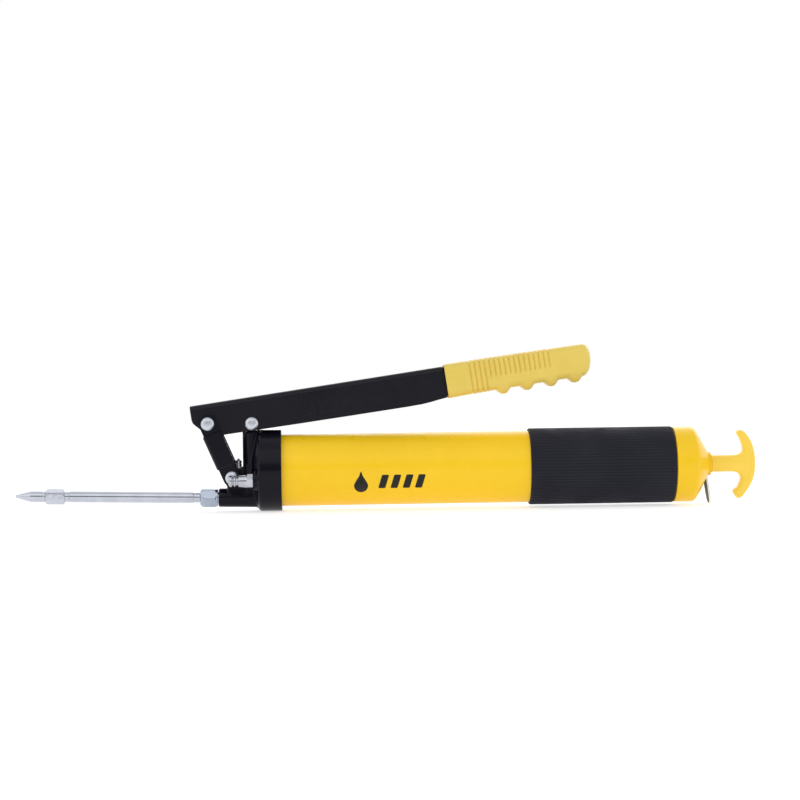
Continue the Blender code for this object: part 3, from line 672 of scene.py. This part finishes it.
def build_head():
    stand_formed("pump_head", head_distance, (-51.8, -33.2, -33.2), (1.0, 33.2, 33.2), 0.62,
                 frame_at(), "black_paint")
    gasket = soften([(28.3, -11.3), (28.3, -13.2), (24.4, -13.2), (24.4, -11.3)], 0.5)
    stand_turned("head_gasket", gasket, BARREL, "nitrile")
    seal = [(6.1, 26.2), (6.1, 24.8), (5.6, 24.3), (5.1, 24.3), (4.68, 24.8), (4.68, 26.2),
            (5.1, 26.7), (5.6, 26.7)]
    stand_turned("plunger_seal", soften(seal, 0.3), frame_at(PLUNGER_PIN[0]), "nitrile", 64)


# ---- discharge line

def fitting(x, y, z, profile, flat, turn, bores):
    """A lathed outline along X cut to a hexagon and drilled; bores are (radius, low, high)."""
    reach = np.hypot(y, z)
    body = within(reach, x, soften(profile, 0.5, False))
    body = smax(body, hexagon(y, z, flat, turn), 0.35)
    return smax(body, -np.minimum.reduce([post(reach, x, *bore) for bore in bores]), 0.3)


def nut_distance(x, y, z):
    profile = [(-2.0, -24.9), (7.15, -24.9), (7.15, -26.4), (8.1, -27.2), (8.1, -35.5),
               (7.1, -38.2), (5.4, -39.3), (-2.0, -39.3)]
    return fitting(x, y, z, profile, 7.19, 38.0, [(4.8, -41.0, -23.0)])


def adaptor_distance(x, y, z):
    profile = [(-2.0, -146.0), (5.2, -146.0), (6.35, -147.3), (6.35, -159.9), (5.2, -161.2),
               (-2.0, -161.2)]
    bores = [(4.4, -154.0, -145.0), (2.2, -157.0, -153.0), (3.5, -163.0, -156.0)]
    return fitting(x, y, z, profile, 5.54, 0.0, bores)


def build_spout():
    place = frame_at(*SPOUT)
    along = place @ ALONG_X
    pipe = soften([
        (4.5, -13.9), (4.5, -38.9), (4.1, -39.2), (4.1, -44.3), (4.5, -44.7), (4.5, -142.3),
        (4.1, -142.7), (4.1, -153.6), (2.0, -153.6), (2.0, -13.9),
    ], 0.25)
    stand_turned("extension_pipe", pipe, along, "tube_zinc")
    stand_formed("pipe_nut", nut_distance, (-40.2, -9.0, -9.0), (-24.0, 9.0, 9.0), 0.27, place,
                 "bright_zinc")
    stand_formed("nozzle_adaptor", adaptor_distance, (-162.0, -7.2, -7.2), (-145.2, 7.2, 7.2), 0.27,
                 place, "tube_zinc")
    tip = soften([
        (3.2, -156.5), (3.2, -161.5), (4.4, -161.5), (4.4, -162.4), (4.15, -162.7), (4.15, -163.2),
        (4.4, -163.5), (4.4, -173.0, 2.0), (1.0, -185.2), (0.55, -185.2), (0.55, -180.0),
        (1.4, -176.0), (1.4, -156.5),
    ], 0.25)
    stand_turned("nozzle_tip", tip, along, "tube_zinc")
    stand_ball("outlet_check_ball", 2.8, place @ Matrix.Translation((-3.75, 0, 0)))
    stand_spring("outlet_check_spring", (2.1, 0.35, -13.6, -6.7, 4), along)


def stand_ball(node, radius, place):
    """A ground ball."""
    profile = arc((0.0, 0.0), radius, 90, -90, 32)
    profile[0] = (0.0, radius)
    profile[-1] = (0.0, -radius)
    stand_in(node, *lathe(profile, 64), place, "bearing_steel")


def stand_spring(node, coil, place):
    """A wire spring, drawn by coil_line, on a mesh of its own."""
    line = coil_line(*coil)
    thing = stand_in(node, *tube(line, coil[1]), place, "spring_steel")
    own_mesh(thing)


# ---- filler nipple and bleeder

def nipple_distance(x, y, z):
    reach = np.hypot(y, z)
    profile = [
        (-1.0, 8.0), (3.4, 8.0), (3.4, -4.7), (5.2, -4.7), (4.5, -11.4), (3.3, -12.0), (3.3, -13.4),
        (4.2, -13.8), (4.2, -15.1), (3.3, -15.5), (3.3, -16.2), (4.5, -16.7), (4.5, -18.3),
        (3.5, -19.3), (-1.0, -19.3),
    ]
    body = within(reach, x, soften(profile, 0.25, False))
    flange = smax(hexagon(y, z, 5.46, -48.0), post(reach, x, 6.15, -4.8, 0.0, 0.5), 0.3)
    bores = [(1.0, -20.0, -18.0), (1.8, -18.2, 2.0), (1.1, 1.5, 9.0)]
    drilled = np.minimum.reduce([post(reach, x, *bore) for bore in bores])
    return smax(np.minimum(body, flange), -drilled, 0.2)


def build_filler():
    place = frame_at(*FILLER, FILLER_SIDE)
    stand_formed("filler_nipple", nipple_distance, (-20.0, -6.8, -6.8), (8.8, 6.8, 6.8), 0.24,
                 place, "nickel_plate")
    stand_ball("filler_check_ball", 1.55, place @ Matrix.Translation((-16.9, 0, 0)))
    stand_spring("filler_spring", (1.3, 0.25, -15.2, 1.8, 4), place @ ALONG_X)


def build_bleeder():
    place = frame_at(BLEEDER_X)
    body = soften([
        (1.1, 8.6), (2.0, 8.6), (2.6, 8.0), (2.6, 6.2), (2.35, 5.9), (2.35, 5.4), (2.6, 5.1),
        (2.6, 3.4), (3.1, 3.4), (3.1, 2.1), (1.85, 2.1), (1.85, -2.6), (0.8, -2.6), (0.8, -1.9),
        (1.55, -1.9), (1.55, 6.4), (1.1, 6.4),
    ], 0.18)
    stand_turned("bleeder_body", body, place, "pin_steel", 64)
    stem = soften([(0, 9.9), (0.7, 9.9), (1.02, 9.5), (1.02, 6.2), (1.4, 6.2), (1.4, 4.2), (0, 4.2)],
                  0.15, False)
    stand_turned("bleeder_stem", stem, place, "bearing_steel", 48)
    stand_spring("bleeder_spring", (1.05, 0.22, -1.7, 4.0, 4), place)


# ---- linkage

# The open retaining ring's outline, as arcs: outer edge, one tip, three lobes and gaps, other tip
RING_ARCS = (
    ((0, 0), 4.55, 38, 322, 48), ((3.1, -2.1), 0.5, -60, 120, 4), ((0, 0), 3.5, 320, 262, 6),
    ((0, 0), 2.62, 250, 230, 3), ((0, 0), 3.5, 218, 142, 8), ((0, 0), 2.62, 130, 110, 3),
    ((0, 0), 3.5, 98, 40, 6), ((3.1, 2.1), 0.5, -120, 60, 4),
)


def build_pin(node, at, half_grip):
    """A headed pin and, in the groove at its far end, an open retaining ring."""
    seat = half_grip + 0.25
    pin = soften([
        (0, seat + 2.4), (2.3, seat + 2.3, 3.0), (3.9, seat + 1.85, 1.5), (5.0, seat + 0.9, 0.8),
        (5.3, seat + 0.4, 0.3), (5.3, seat), (3.0, seat), (3.0, -seat - 0.1), (2.5, -seat - 0.1),
        (2.5, -seat - 1.1), (3.0, -seat - 1.1), (2.6, -seat - 1.9), (0, -seat - 1.9),
    ], 0.2, False)
    place = frame_at(*at) @ ALONG_Y
    stand_turned(node, pin, place, "pin_steel", 72)
    outline = []
    for centre, radius, start, stop, steps in RING_ARCS:
        outline += arc(centre, radius, start, stop, steps)
    ring = stand_in(node + "_ring", *slab(outline, -seat - 0.95, -seat - 0.25), place,
                    "spring_steel")
    edge = ease_edges(ring, 0.08)
    edge.limit_method = "ANGLE"
    edge.angle_limit = radians(60)
    even_normals(ring)


def link_distance(x, y, z):
    """Two straps and the bridge folded between them along their front edge."""
    ear = np.hypot(x, z - np.clip(z, 0.0, LINK_LENGTH)) - 7.0
    straps = rounded_pair(ear, abs(abs(y) - 12.65) - 1.25, 0.6)
    bend = 3.2
    outer = beyond(-5.0 - x, abs(y) - (STRAP_OUTSIDE - bend)) - bend
    outer = np.maximum(outer, abs(y) - STRAP_OUTSIDE)
    inner = beyond(-4.8 - x, abs(y) - 10.5) - 0.9
    fold = smax(smax(outer, -inner, 0.4), x - 7.0, 0.4)
    fold = rounded_pair(fold, span(z, 10.0, LINK_LENGTH - 8.2), 0.6)
    body = smin(straps, fold, 0.5)
    for height in (0.0, LINK_LENGTH):
        body = smax(body, PIN_HOLE - np.hypot(x, z - height) + 0.0 * y, 0.4)
    return body


def build_link():
    stand_formed("toggle_link", link_distance, (-9.2, -14.8, -8.0), (8.0, 14.8, LINK_LENGTH + 8.0),
                 0.45, frame_at(*LINK), "black_paint")


def channel_ring(u, half, top, bottom, bend=4.5, inset=0.0):
    """One closed section of the folded lever, across it at u, drawn in by inset."""
    inner = half - LEVER_WALL
    tight = bend - LEVER_WALL
    high = top - bend
    foot = LEVER_EDGE
    edge = foot - inset
    loop = arc((half - foot, bottom + foot), edge, -90, 0, 3)
    loop += arc((half - bend, high), bend - inset, 0, 90, 10)
    loop += arc((bend - half, high), bend - inset, 90, 180, 10)
    loop += arc((foot - half, bottom + foot), edge, 180, 270, 3)
    loop += arc((-inner - foot, bottom + foot), edge, 270, 360, 3)
    loop += arc((tight - inner, high), tight + inset, 180, 90, 8)
    loop += arc((inner - tight, high), tight + inset, 90, 0, 8)
    loop += arc((inner + foot, bottom + foot), edge, 180, 270, 3)
    return [(u, y, w) for y, w in loop]


# The lever in its own frame, u along it and w across it: the lower edge as (u, w), and where
# the sections in between stand
LEVER_HALF = 11.0
LEVER_TOP = 16.1
LEVER_WALL = 2.5
LEVER_EDGE = 0.6
LEVER_FOOT = (
    (-12.6, 5.2), (-12.3, 4.4), (-11.6, 2.4), (-10.4, 0.8), (-8.4, -1.4), (-6.2, -3.9), (-3.6, -6.9),
    (-1.8, -8.8), (-0.3, -9.9), (1.8, -10.35), (23.5, -10.5), (61.0, -10.9), (114.0, -11.2),
    (160.0, -11.3), (170.0, -11.1), (178.0, -10.4), (184.0, -9.6), (189.6, -9.0), (190.8, -8.8),
)
LEVER_STOPS = (
    -11.6, -11.0, -10.4, -9.4, -8.4, -7.3, -6.2, -4.9, -3.6, -2.7, -1.8, -1.0, -0.3, 0.6, 1.8, 6.0,
    12.0, 23.5, 40.0, 61.0, 88.0, 114.0, 140.0, 160.0, 165.0, 170.0, 174.0, 178.0, 181.0, 184.0,
    187.0,
)


def build_lever():
    """The folded channel with its narrower tang, pin holes and a raised mark on each side."""
    half = LEVER_HALF
    top = LEVER_TOP
    foot_u, foot_w = zip(*LEVER_FOOT)
    rings = [
        channel_ring(-12.2, half, top, 4.6, inset=0.45),
        channel_ring(-12.05, half, top, 4.2, inset=0.15),
        channel_ring(-11.8, half, top, 3.3),
    ]
    rings += [channel_ring(u, half, top, float(np.interp(u, foot_u, foot_w))) for u in LEVER_STOPS]
    rings += [channel_ring(189.6, half, top, -9.0), channel_ring(190.4, half - 0.1, top - 0.3, -8.8)]
    for u, bottom in ((191.0, -7.4), (191.6, -7.0), (196.0, -5.4), (299.0, -5.4)):
        rings.append(channel_ring(u, half - 0.4, top - 1.2, bottom, 4.0))
    place = frame_at(*LEVER)
    lever = stand_in("lever", *loft(rings), place, "lever_paint")
    drill = lathe([(0.0, 14.0), (PIN_HOLE, 14.0), (PIN_HOLE, -14.0), (0.0, -14.0)], 48)
    carve(lever, "DIFFERENCE", *(
        link_mesh("tool", *drill, frame_at(*pin) @ ALONG_Y) for pin in (LEVER_PIN, PLUNGER_PIN)))
    sharpen_carved(lever)

    points, faces = slabs(mark_shapes(67.0, -1.2, 0.92), LEVER_HALF - 0.1, LEVER_HALF + 0.22)
    for side, name in ((-1.0, "near"), (1.0, "far")):
        turned = [(x, z * side, y) for x, y, z in points]
        mark = add_piece("lever_mark_" + name, turned, faces, place, "lever_paint", "lever")
        ease_edges(mark, 0.12)
        even_normals(mark)


def mark_shapes(x, z, scale=1.0):
    """The outlines of a plain droplet and four slanted bars, left to right from its centre."""
    side = [(1.5, 4.6), (3.6, 1.2), (5.3, -2.0), (5.2, -4.8), (3.3, -7.3)]
    mirrored = [(-across, up) for across, up in reversed(side)]
    shapes = [flowing([(0.0, 8.2), *side, (0.0, -8.3), *mirrored])]
    for number in range(4):
        start = 15.0 + 9.6 * number
        bar = [(start - 1.6, -5.3), (start + 4.0, -5.3), (start + 7.2, 5.3), (start + 1.6, 5.3)]
        shapes.append(soften(bar, 0.9))
    return [[(x + scale * a, z + scale * b) for a, b in shape] for shape in shapes]


# The grip's section along the lever: top, underside and half width, and how squarely each one
# bends round into the domed end, whose crown is at height GRIP_CROWN
GRIP_TOP = ((191.7, 192.2, 192.8, 300.0), (16.6, 17.2, 17.5, 16.4), 3.0)
GRIP_LOW = ((191.7, 192.4, 206.0, 219.0, 300.0), (-9.2, -9.75, -9.35, -9.0, -9.0), 1.9)
GRIP_HALF = ((191.7, 192.3, 193.0, 300.0), (12.1, 12.65, 12.8, 12.8), 2.5)
GRIP_DOME = 300.0
GRIP_END = 309.3
GRIP_CROWN = 6.3
GRIP_HOLLOW = ((191.7, 11.9, -8.9, 16.6), (191.9, 11.5, -8.3, 16.0), (192.6, 11.1, -7.6, 15.45),
               (300.0, 10.95, -7.35, 15.25))

# Moulded valleys between the grip's ribs; the first few run right round it
RIB_START = 211.9
RIB_PITCH = 3.955
RIBS = 16
FULL_RIBS = 3
RIB_RISE = 0.35
RIB_DEPTH = 0.9

# Finger bumps under the grip
BUMPS = (236.2, 255.55, 274.9, 294.25)
BUMP_HALF = 5.6
BUMP_DROP = 4.1


def boxy_loop(half, low, high, radius, steps=8, runs=12):
    """Points with outward normals round a rounded rectangle: (y, w, normal y, normal w)."""
    centres = [(half - radius, high - radius), (radius - half, high - radius),
               (radius - half, low + radius), (half - radius, low + radius)]
    loop = []
    for corner, (cy, cw) in enumerate(centres):
        for step in range(steps + 1):
            angle = radians(90 * (corner + step / steps))
            ny = cos(angle)
            nw = sin(angle)
            loop.append((cy + radius * ny, cw + radius * nw, ny, nw))
        ahead_y, ahead_w = centres[(corner + 1) % 4]
        for step in range(1, runs):
            t = step / runs
            y = cy + (ahead_y - cy) * t + radius * ny
            w = cw + (ahead_w - cw) * t + radius * nw
            loop.append((y, w, ny, nw))
    return loop


def smooth_share(value, low, high):
    """From 0 at low to 1 at high, with soft ends."""
    t = min(max((value - low) / (high - low), 0.0), 1.0)
    return t * t * (3 - 2 * t)


def grip_relief(u, w):
    """How far the moulded ribs stand out, or their valleys sink in, at one place of the grip."""
    phase = (u - RIB_START) / RIB_PITCH
    nearest = min(max(round(phase), 0), RIBS)
    clear = smooth_share(abs(phase - nearest) * RIB_PITCH, 0.05, 1.0)
    raised = RIB_RISE if 0 <= phase <= RIBS else 0.0
    end = 1.2 + 0.06 * (phase - FULL_RIBS)
    fade = 1.0 if phase < FULL_RIBS + 0.3 else smooth_share(w, end, end + 0.9)
    return fade * (raised * clear - RIB_DEPTH * (1 - clear))


def grip_size(u, line, middle):
    """One measure of the grip's section, drawn in towards the middle over the domed end."""
    spots, sizes, square = line
    share = min(max((u - GRIP_DOME) / (GRIP_END - GRIP_DOME), 0.0), 1.0)
    return middle + (float(np.interp(u, spots, sizes)) - middle) * (1 - share ** square) ** (1 / square)


def build_grip():
    """The vinyl sleeve: rounded rim, ribs, four finger bumps, domed end and the cavity inside."""
    stations = [191.7, 191.85, 192.1, 192.4, 192.8] + list(np.arange(193.3, 299.9, 0.33))
    stations += [GRIP_END - (GRIP_END - GRIP_DOME) * (1 - k / 32) ** 2 for k in range(32)]
    stations.append(GRIP_END - 0.001)
    rings = []
    for u in stations:
        top = grip_size(u, GRIP_TOP, GRIP_CROWN)
        low = grip_size(u, GRIP_LOW, GRIP_CROWN)
        half = grip_size(u, GRIP_HALF, 0.0)
        radius = min(6.0, 0.92 * half, 0.46 * (top - low))
        bump = sum(max(0.0, 1 - ((u - middle) / BUMP_HALF) ** 2) ** 1.1 for middle in BUMPS)
        ring = []
        for y, w, ny, nw in boxy_loop(half, low, top, radius):
            lift = grip_relief(u, w)
            drop = BUMP_DROP * bump * max(0.0, -nw) ** 2.4
            ring.append((u, y + lift * ny, w + lift * nw - drop))
        rings.append(ring)
    hollow = [
        [(u, y, w) for y, w, _, _ in boxy_loop(half, low, high, 3.6)]
        for u, half, low, high in GRIP_HOLLOW
    ]
    stand_in("lever_grip", *loft(rings[::-1] + hollow), frame_at(*LEVER), "yellow_vinyl")


def plunger_distance(x, y, z):
    reach = np.hypot(x, y)
    rod = post(reach, z, 4.5, -8.0, 32.4, 0.5)
    eye = beyond(abs(x) - 3.0, abs(z - 38.2) - 1.1) - 5.5
    eye = rounded_pair(eye, abs(y) - 5.0, 0.5)
    slot = np.hypot(np.maximum(abs(x) - 1.5, 0.0), z - PLUNGER_PIN[1]) - 4.3
    return smax(smin(rod, eye, 0.6), -slot + 0.0 * y, 0.4)


def build_plunger():
    stand_formed("plunger", plunger_distance, (-9.2, -6.2, -8.8), (9.2, 6.2, 46.0), 0.4,
                 frame_at(PLUNGER_PIN[0]), "ground_steel")


# ---- barrel, sleeve and cap

# Grooves round the rubber sleeve; half a groove's width is given as a share of their pitch
GROOVES = 76
GROOVE_DEPTH = 0.5
GROOVE_HALF = 0.17


def build_barrel():
    wall = soften([(28.5, 324.8), (28.5, -11.0), (27.0, -11.0), (27.0, 324.8)], 0.4)
    stand_turned("barrel", wall, BARREL, "yellow_paint", 192)

    ink = lathe([(28.54, 116.0), (28.54, 50.0), (28.49, 50.0), (28.49, 116.0)], 288)
    print_piece = add_piece("barrel_print", *ink, BARREL, "ink", "gun")
    points, faces = slabs(mark_shapes(62.3, -9.3), 10.0, 40.0)
    carve(print_piece, "INTERSECT",
          link_mesh("tool", [(x, -z, y) for x, y, z in points], faces, frame_at()))


def sleeve_groove(angle, radius, height):
    """How far the grooves move the rubber sleeve's surface at one place; inwards is negative."""
    if radius < 29.0 or not 197.6 < height < 310.7:
        return 0.0
    phase = (angle * GROOVES / tau) % 1.0
    away = min(phase, 1 - phase) / GROOVE_HALF
    return -GROOVE_DEPTH * max(0.0, 1 - away * away)


def build_sleeve():
    profile = [
        (28.8, 311.9), (29.1, 311.9), (29.9, 311.6), (30.3, 311.0), (30.4, 310.5), (30.4, 310.0),
        (30.4, 254.1), (30.4, 198.3), (30.4, 197.8), (30.3, 197.3), (29.9, 196.7), (29.1, 196.4),
        (28.8, 196.4),
    ]
    stand_in("barrel_sleeve", *lathe(profile, GROOVES * 10, sleeve_groove), BARREL, "black_rubber")


def build_cap():
    """The rear cap with the lock tab's window, the spring's seat and the tab's own spring."""
    cap = soften([
        (4.1, 342.8), (9.1, 342.8), (9.35, 342.3), (9.35, 341.6), (9.1, 341.3), (9.35, 340.7, 0.8),
        (17.5, 336.1, 3.0), (22.8, 333.3, 0.8), (28.1, 329.9, 0.8), (29.6, 328.3, 0.8),
        (30.0, 326.6, 0.8), (30.0, 312.7), (29.5, 312.2), (28.8, 312.2), (28.8, 326.6),
        (27.9, 327.9), (8.05, 340.2), (4.1, 340.2),
    ], 0.3)
    piece = stand_in("rear_cap", *lathe(cap, 192), BARREL, "yellow_paint")
    window = [(334.3, -7.4), (340.3, -7.4), (340.3, 7.4), (334.3, 7.4)]
    carve(piece, "DIFFERENCE", link_mesh("tool", *slab(window, -26.0, -6.2), frame_at()))
    sharpen_carved(piece)

    seat = soften([(28.2, 326.3), (28.2, 325.1), (4.3, 325.1), (4.3, 326.3)], 0.3)
    stand_turned("spring_seat", seat, BARREL, "ground_steel")
    stand_spring("lock_spring", (6.2, 0.5, 326.6, 334.5, 4), BARREL)


def tab_distance(x, y, z):
    outline = [(7.0, -2.0), (5.0, 0.5), (-5.0, 0.5), (-7.0, -2.0)]
    outline += arc((0.0, -36.0), 7.0, 180, 360, 24)
    body = rounded_pair(within(y, z, soften(outline, 0.8)), abs(x) - 0.8, 0.3)
    depth = LOCK[1] / cos(radians(LOCK[2]))
    return smax(body, 4.4 - np.hypot(y, z + depth) + 0.0 * x, 0.3)


def build_lock_tab():
    stand_formed("rod_lock_tab", tab_distance, (-1.5, -7.9, -43.9), (1.5, 7.9, 1.4), 0.33,
                 frame_at(*LOCK), "chrome")


# ---- follower, rod and handle

def build_follower():
    cup = soften([(26.85, -1.8), (26.85, -10.0), (25.3, -10.0), (24.3, -4.8, 1.5), (4.6, -4.8),
                  (4.6, -1.8)], 0.4)
    front = soften([(20.0, -5.1), (20.0, -6.3), (4.1, -6.3), (4.1, -5.1)], 0.3)
    back = soften([(16.5, 3.5), (16.5, -0.3), (25.0, -0.3), (25.0, -1.5), (4.1, -1.5), (4.1, -0.3),
                   (15.3, -0.3), (15.3, 3.5)], 0.3)
    stand_turned("follower_cup", cup, BARREL, "nitrile")
    stand_turned("follower_front_plate", front, BARREL, "ground_steel")
    stand_turned("follower_back_plate", back, BARREL, "ground_steel")
    stand_spring("follower_spring", (20.0, 1.2, 0.1, 324.8, 8, 48), BARREL)


def handle_distance(x, y, z):
    arms_outline = flowing([
        (367.2, 26.7), (370.9, 24.6), (374.4, 19.6), (376.9, 13.6), (378.25, 7.0), (378.55, 0.0),
        (377.9, -8.1), (375.8, -14.8), (372.3, -20.6), (368.0, -26.4), (365.3, -27.9),
        (363.2, -27.1), (360.9, -23.0), (361.6, -20.5), (364.4, -18.4), (366.3, -14.3),
        (367.0, -11.2), (365.0, -7.8), (362.4, -6.2), (356.0, -3.6), (356.0, 3.6), (362.4, 6.2),
        (365.8, 7.5), (368.5, 9.8), (368.7, 13.3), (367.0, 19.2), (364.5, 24.0), (365.0, 26.0),
    ], 3)
    arms = rounded_pair(within(x, z, arms_outline), abs(y) - 6.0, 2.9)
    reach = np.hypot(y, z)
    stem = post(reach, x, 6.7, 343.3, 372.0, 0.6)
    lip = post(reach, x, 6.95, 343.3, 344.5, 0.4)
    return smax(smin(smin(stem, lip, 0.5), arms, 2.0), -post(reach, x, 4.25, 340.0, 359.5), 0.3)


def build_rod():
    rod = soften([
        (0, 358.0), (3.6, 358.0), (4.0, 357.6), (4.0, 1.6), (6.0, 1.6), (6.0, 0.0), (4.0, 0.0),
        (4.0, -6.5), (3.5, -6.5), (3.5, -12.8), (0, -12.8),
    ], 0.2, False)
    stand_turned("follower_rod", rod, BARREL, "ground_steel")
    nut = soften([(7.3, -6.7), (7.3, -11.2), (3.65, -11.2), (3.65, -6.7)], 0.5)
    stand_turned("follower_nut", nut, BARREL, "bright_zinc", 6)
    stand_formed("t_handle", handle_distance, (342.5, -7.4, -29.2), (379.6, 7.4, 28.0), 0.45,
                 frame_at(), "yellow_plastic")


# ---- studio

FLOOR_HALF = 6.0
FOCAL_LENGTH = 99.3
SENSOR_WIDTH = 36.0
# The camera stands that many metres off what it looks at, given in drawing millimetres, turned
# and rolled by small angles in degrees
CAMERA_DISTANCE = 1.76
CAMERA_AIM = (94.8, 0.0, 54.5)
CAMERA_YAW = 2.1
CAMERA_ROLL = 0.82


def build_world():
    """A pale room: white behind, bright at both sides and above, dark where the camera stands."""
    world = bpy.data.worlds.new("studio")
    bpy.context.scene.world = world
    world.use_nodes = True
    world.node_tree.nodes.clear()
    room = Wiring(world.node_tree)
    direction = room.add("SeparateXYZ")
    room.link(room.add("TexCoord").outputs["Generated"], direction.inputs[0])
    aside = room.math("ABSOLUTE", direction.outputs["X"])
    in_front = room.remap(direction.outputs["Y"], 0.05, -0.25, 0.0, 1.0)
    level = room.remap(direction.outputs["Z"], 0.16, 0.55, 1.0, 0.0)
    between = room.remap(aside, 0.45, 0.62, 1.0, 0.0)
    dark = room.math("MULTIPLY", room.math("MULTIPLY", in_front, level), between)
    sides = room.math("MULTIPLY", room.remap(aside, 0.55, 0.75, 0.0, 0.55), in_front)
    behind = room.remap(direction.outputs["Y"], 0.10, 0.60, 0.0, 0.60)
    ceiling = room.math("SUBTRACT", 0.76, room.math("MULTIPLY", dark, 0.56))
    light = room.math("ADD", room.math("ADD", ceiling, behind), sides)
    walls = room.add("Background")
    room.plug(walls.inputs["Color"], (0.98, 0.99, 1.0))
    room.link(light, walls.inputs["Strength"])
    backdrop = room.add("Background")
    room.plug(backdrop.inputs["Color"], (1.0, 1.0, 1.0))
    chosen = room.add("MixShader")
    room.link(room.add("LightPath").outputs["Is Camera Ray"], chosen.inputs["Fac"])
    room.link(walls.outputs[0], chosen.inputs[1])
    room.link(backdrop.outputs[0], chosen.inputs[2])
    room.link(chosen.outputs[0], room.add("OutputWorld").inputs["Surface"])


def softbox(name, place, size, power):
    """A rectangular lamp, in metres and watts, that faces the drawing frame's origin."""
    lamp = bpy.data.lights.new(name, "AREA")
    lamp.shape = "RECTANGLE"
    lamp.size, lamp.size_y = size
    lamp.energy = power
    thing = link_object(name, lamp)
    thing.location = place
    thing.rotation_euler = (AXIS - Vector(place)).to_track_quat("-Z", "Y").to_euler()


def build_floor():
    """A pale square, in metres, that glows a little so that it stays white round the gun."""
    corners = [(x * FLOOR_HALF, y * FLOOR_HALF, 0.0) for x, y in ((-1, -1), (1, -1), (1, 1), (-1, 1))]
    floor = link_mesh("studio_floor", corners, [(0, 1, 2, 3)], Matrix())
    look = Look("floor_white")
    tone = look.blend(look.patches(3.0, 3.0, 0.3, 0.7), (0.54, 0.54, 0.545), (0.56, 0.56, 0.56))
    look.set(Base_Color=tone, Roughness=0.8, Emission_Color=(1.0, 1.0, 1.0), Emission_Strength=0.55)
    floor.data.materials.append(look.material)


def build_camera():
    data = bpy.data.cameras.new("camera")
    data.lens = FOCAL_LENGTH
    data.sensor_width = SENSOR_WIDTH
    data.clip_start = 0.05
    camera = link_object("camera", data)
    yaw = radians(CAMERA_YAW)
    forward = Vector((sin(yaw), cos(yaw), 0.0))
    roll = Matrix.Rotation(radians(CAMERA_ROLL), 3, forward)
    facing = roll @ forward.to_track_quat("-Z", "Y").to_matrix()
    place = AXIS + Vector(CAMERA_AIM) * MM - forward * CAMERA_DISTANCE
    camera.matrix_world = Matrix.Translation(place) @ facing.to_4x4()
    bpy.context.scene.camera = camera
    bpy.context.scene.view_settings.view_transform = "Standard"


def build_studio():
    build_world()
    build_floor()
    softbox("key", (-0.45, -1.15, 1.15), (2.4, 1.3), 4.5)
    softbox("rim", (0.5, 1.2, 0.75), (1.6, 0.6), 3.6)
    build_camera()


build_head()
build_spout()
build_filler()
build_bleeder()
build_pin("lower_link_pin", LINK_PIN, STRAP_OUTSIDE)
build_pin("upper_link_pin", LEVER_PIN, STRAP_OUTSIDE)
build_pin("plunger_pin", PLUNGER_PIN, LEVER_HALF)
build_link()
build_lever()
build_grip()
build_plunger()
build_barrel()
build_sleeve()
build_cap()
build_lock_tab()
build_follower()
build_rod()
build_studio()
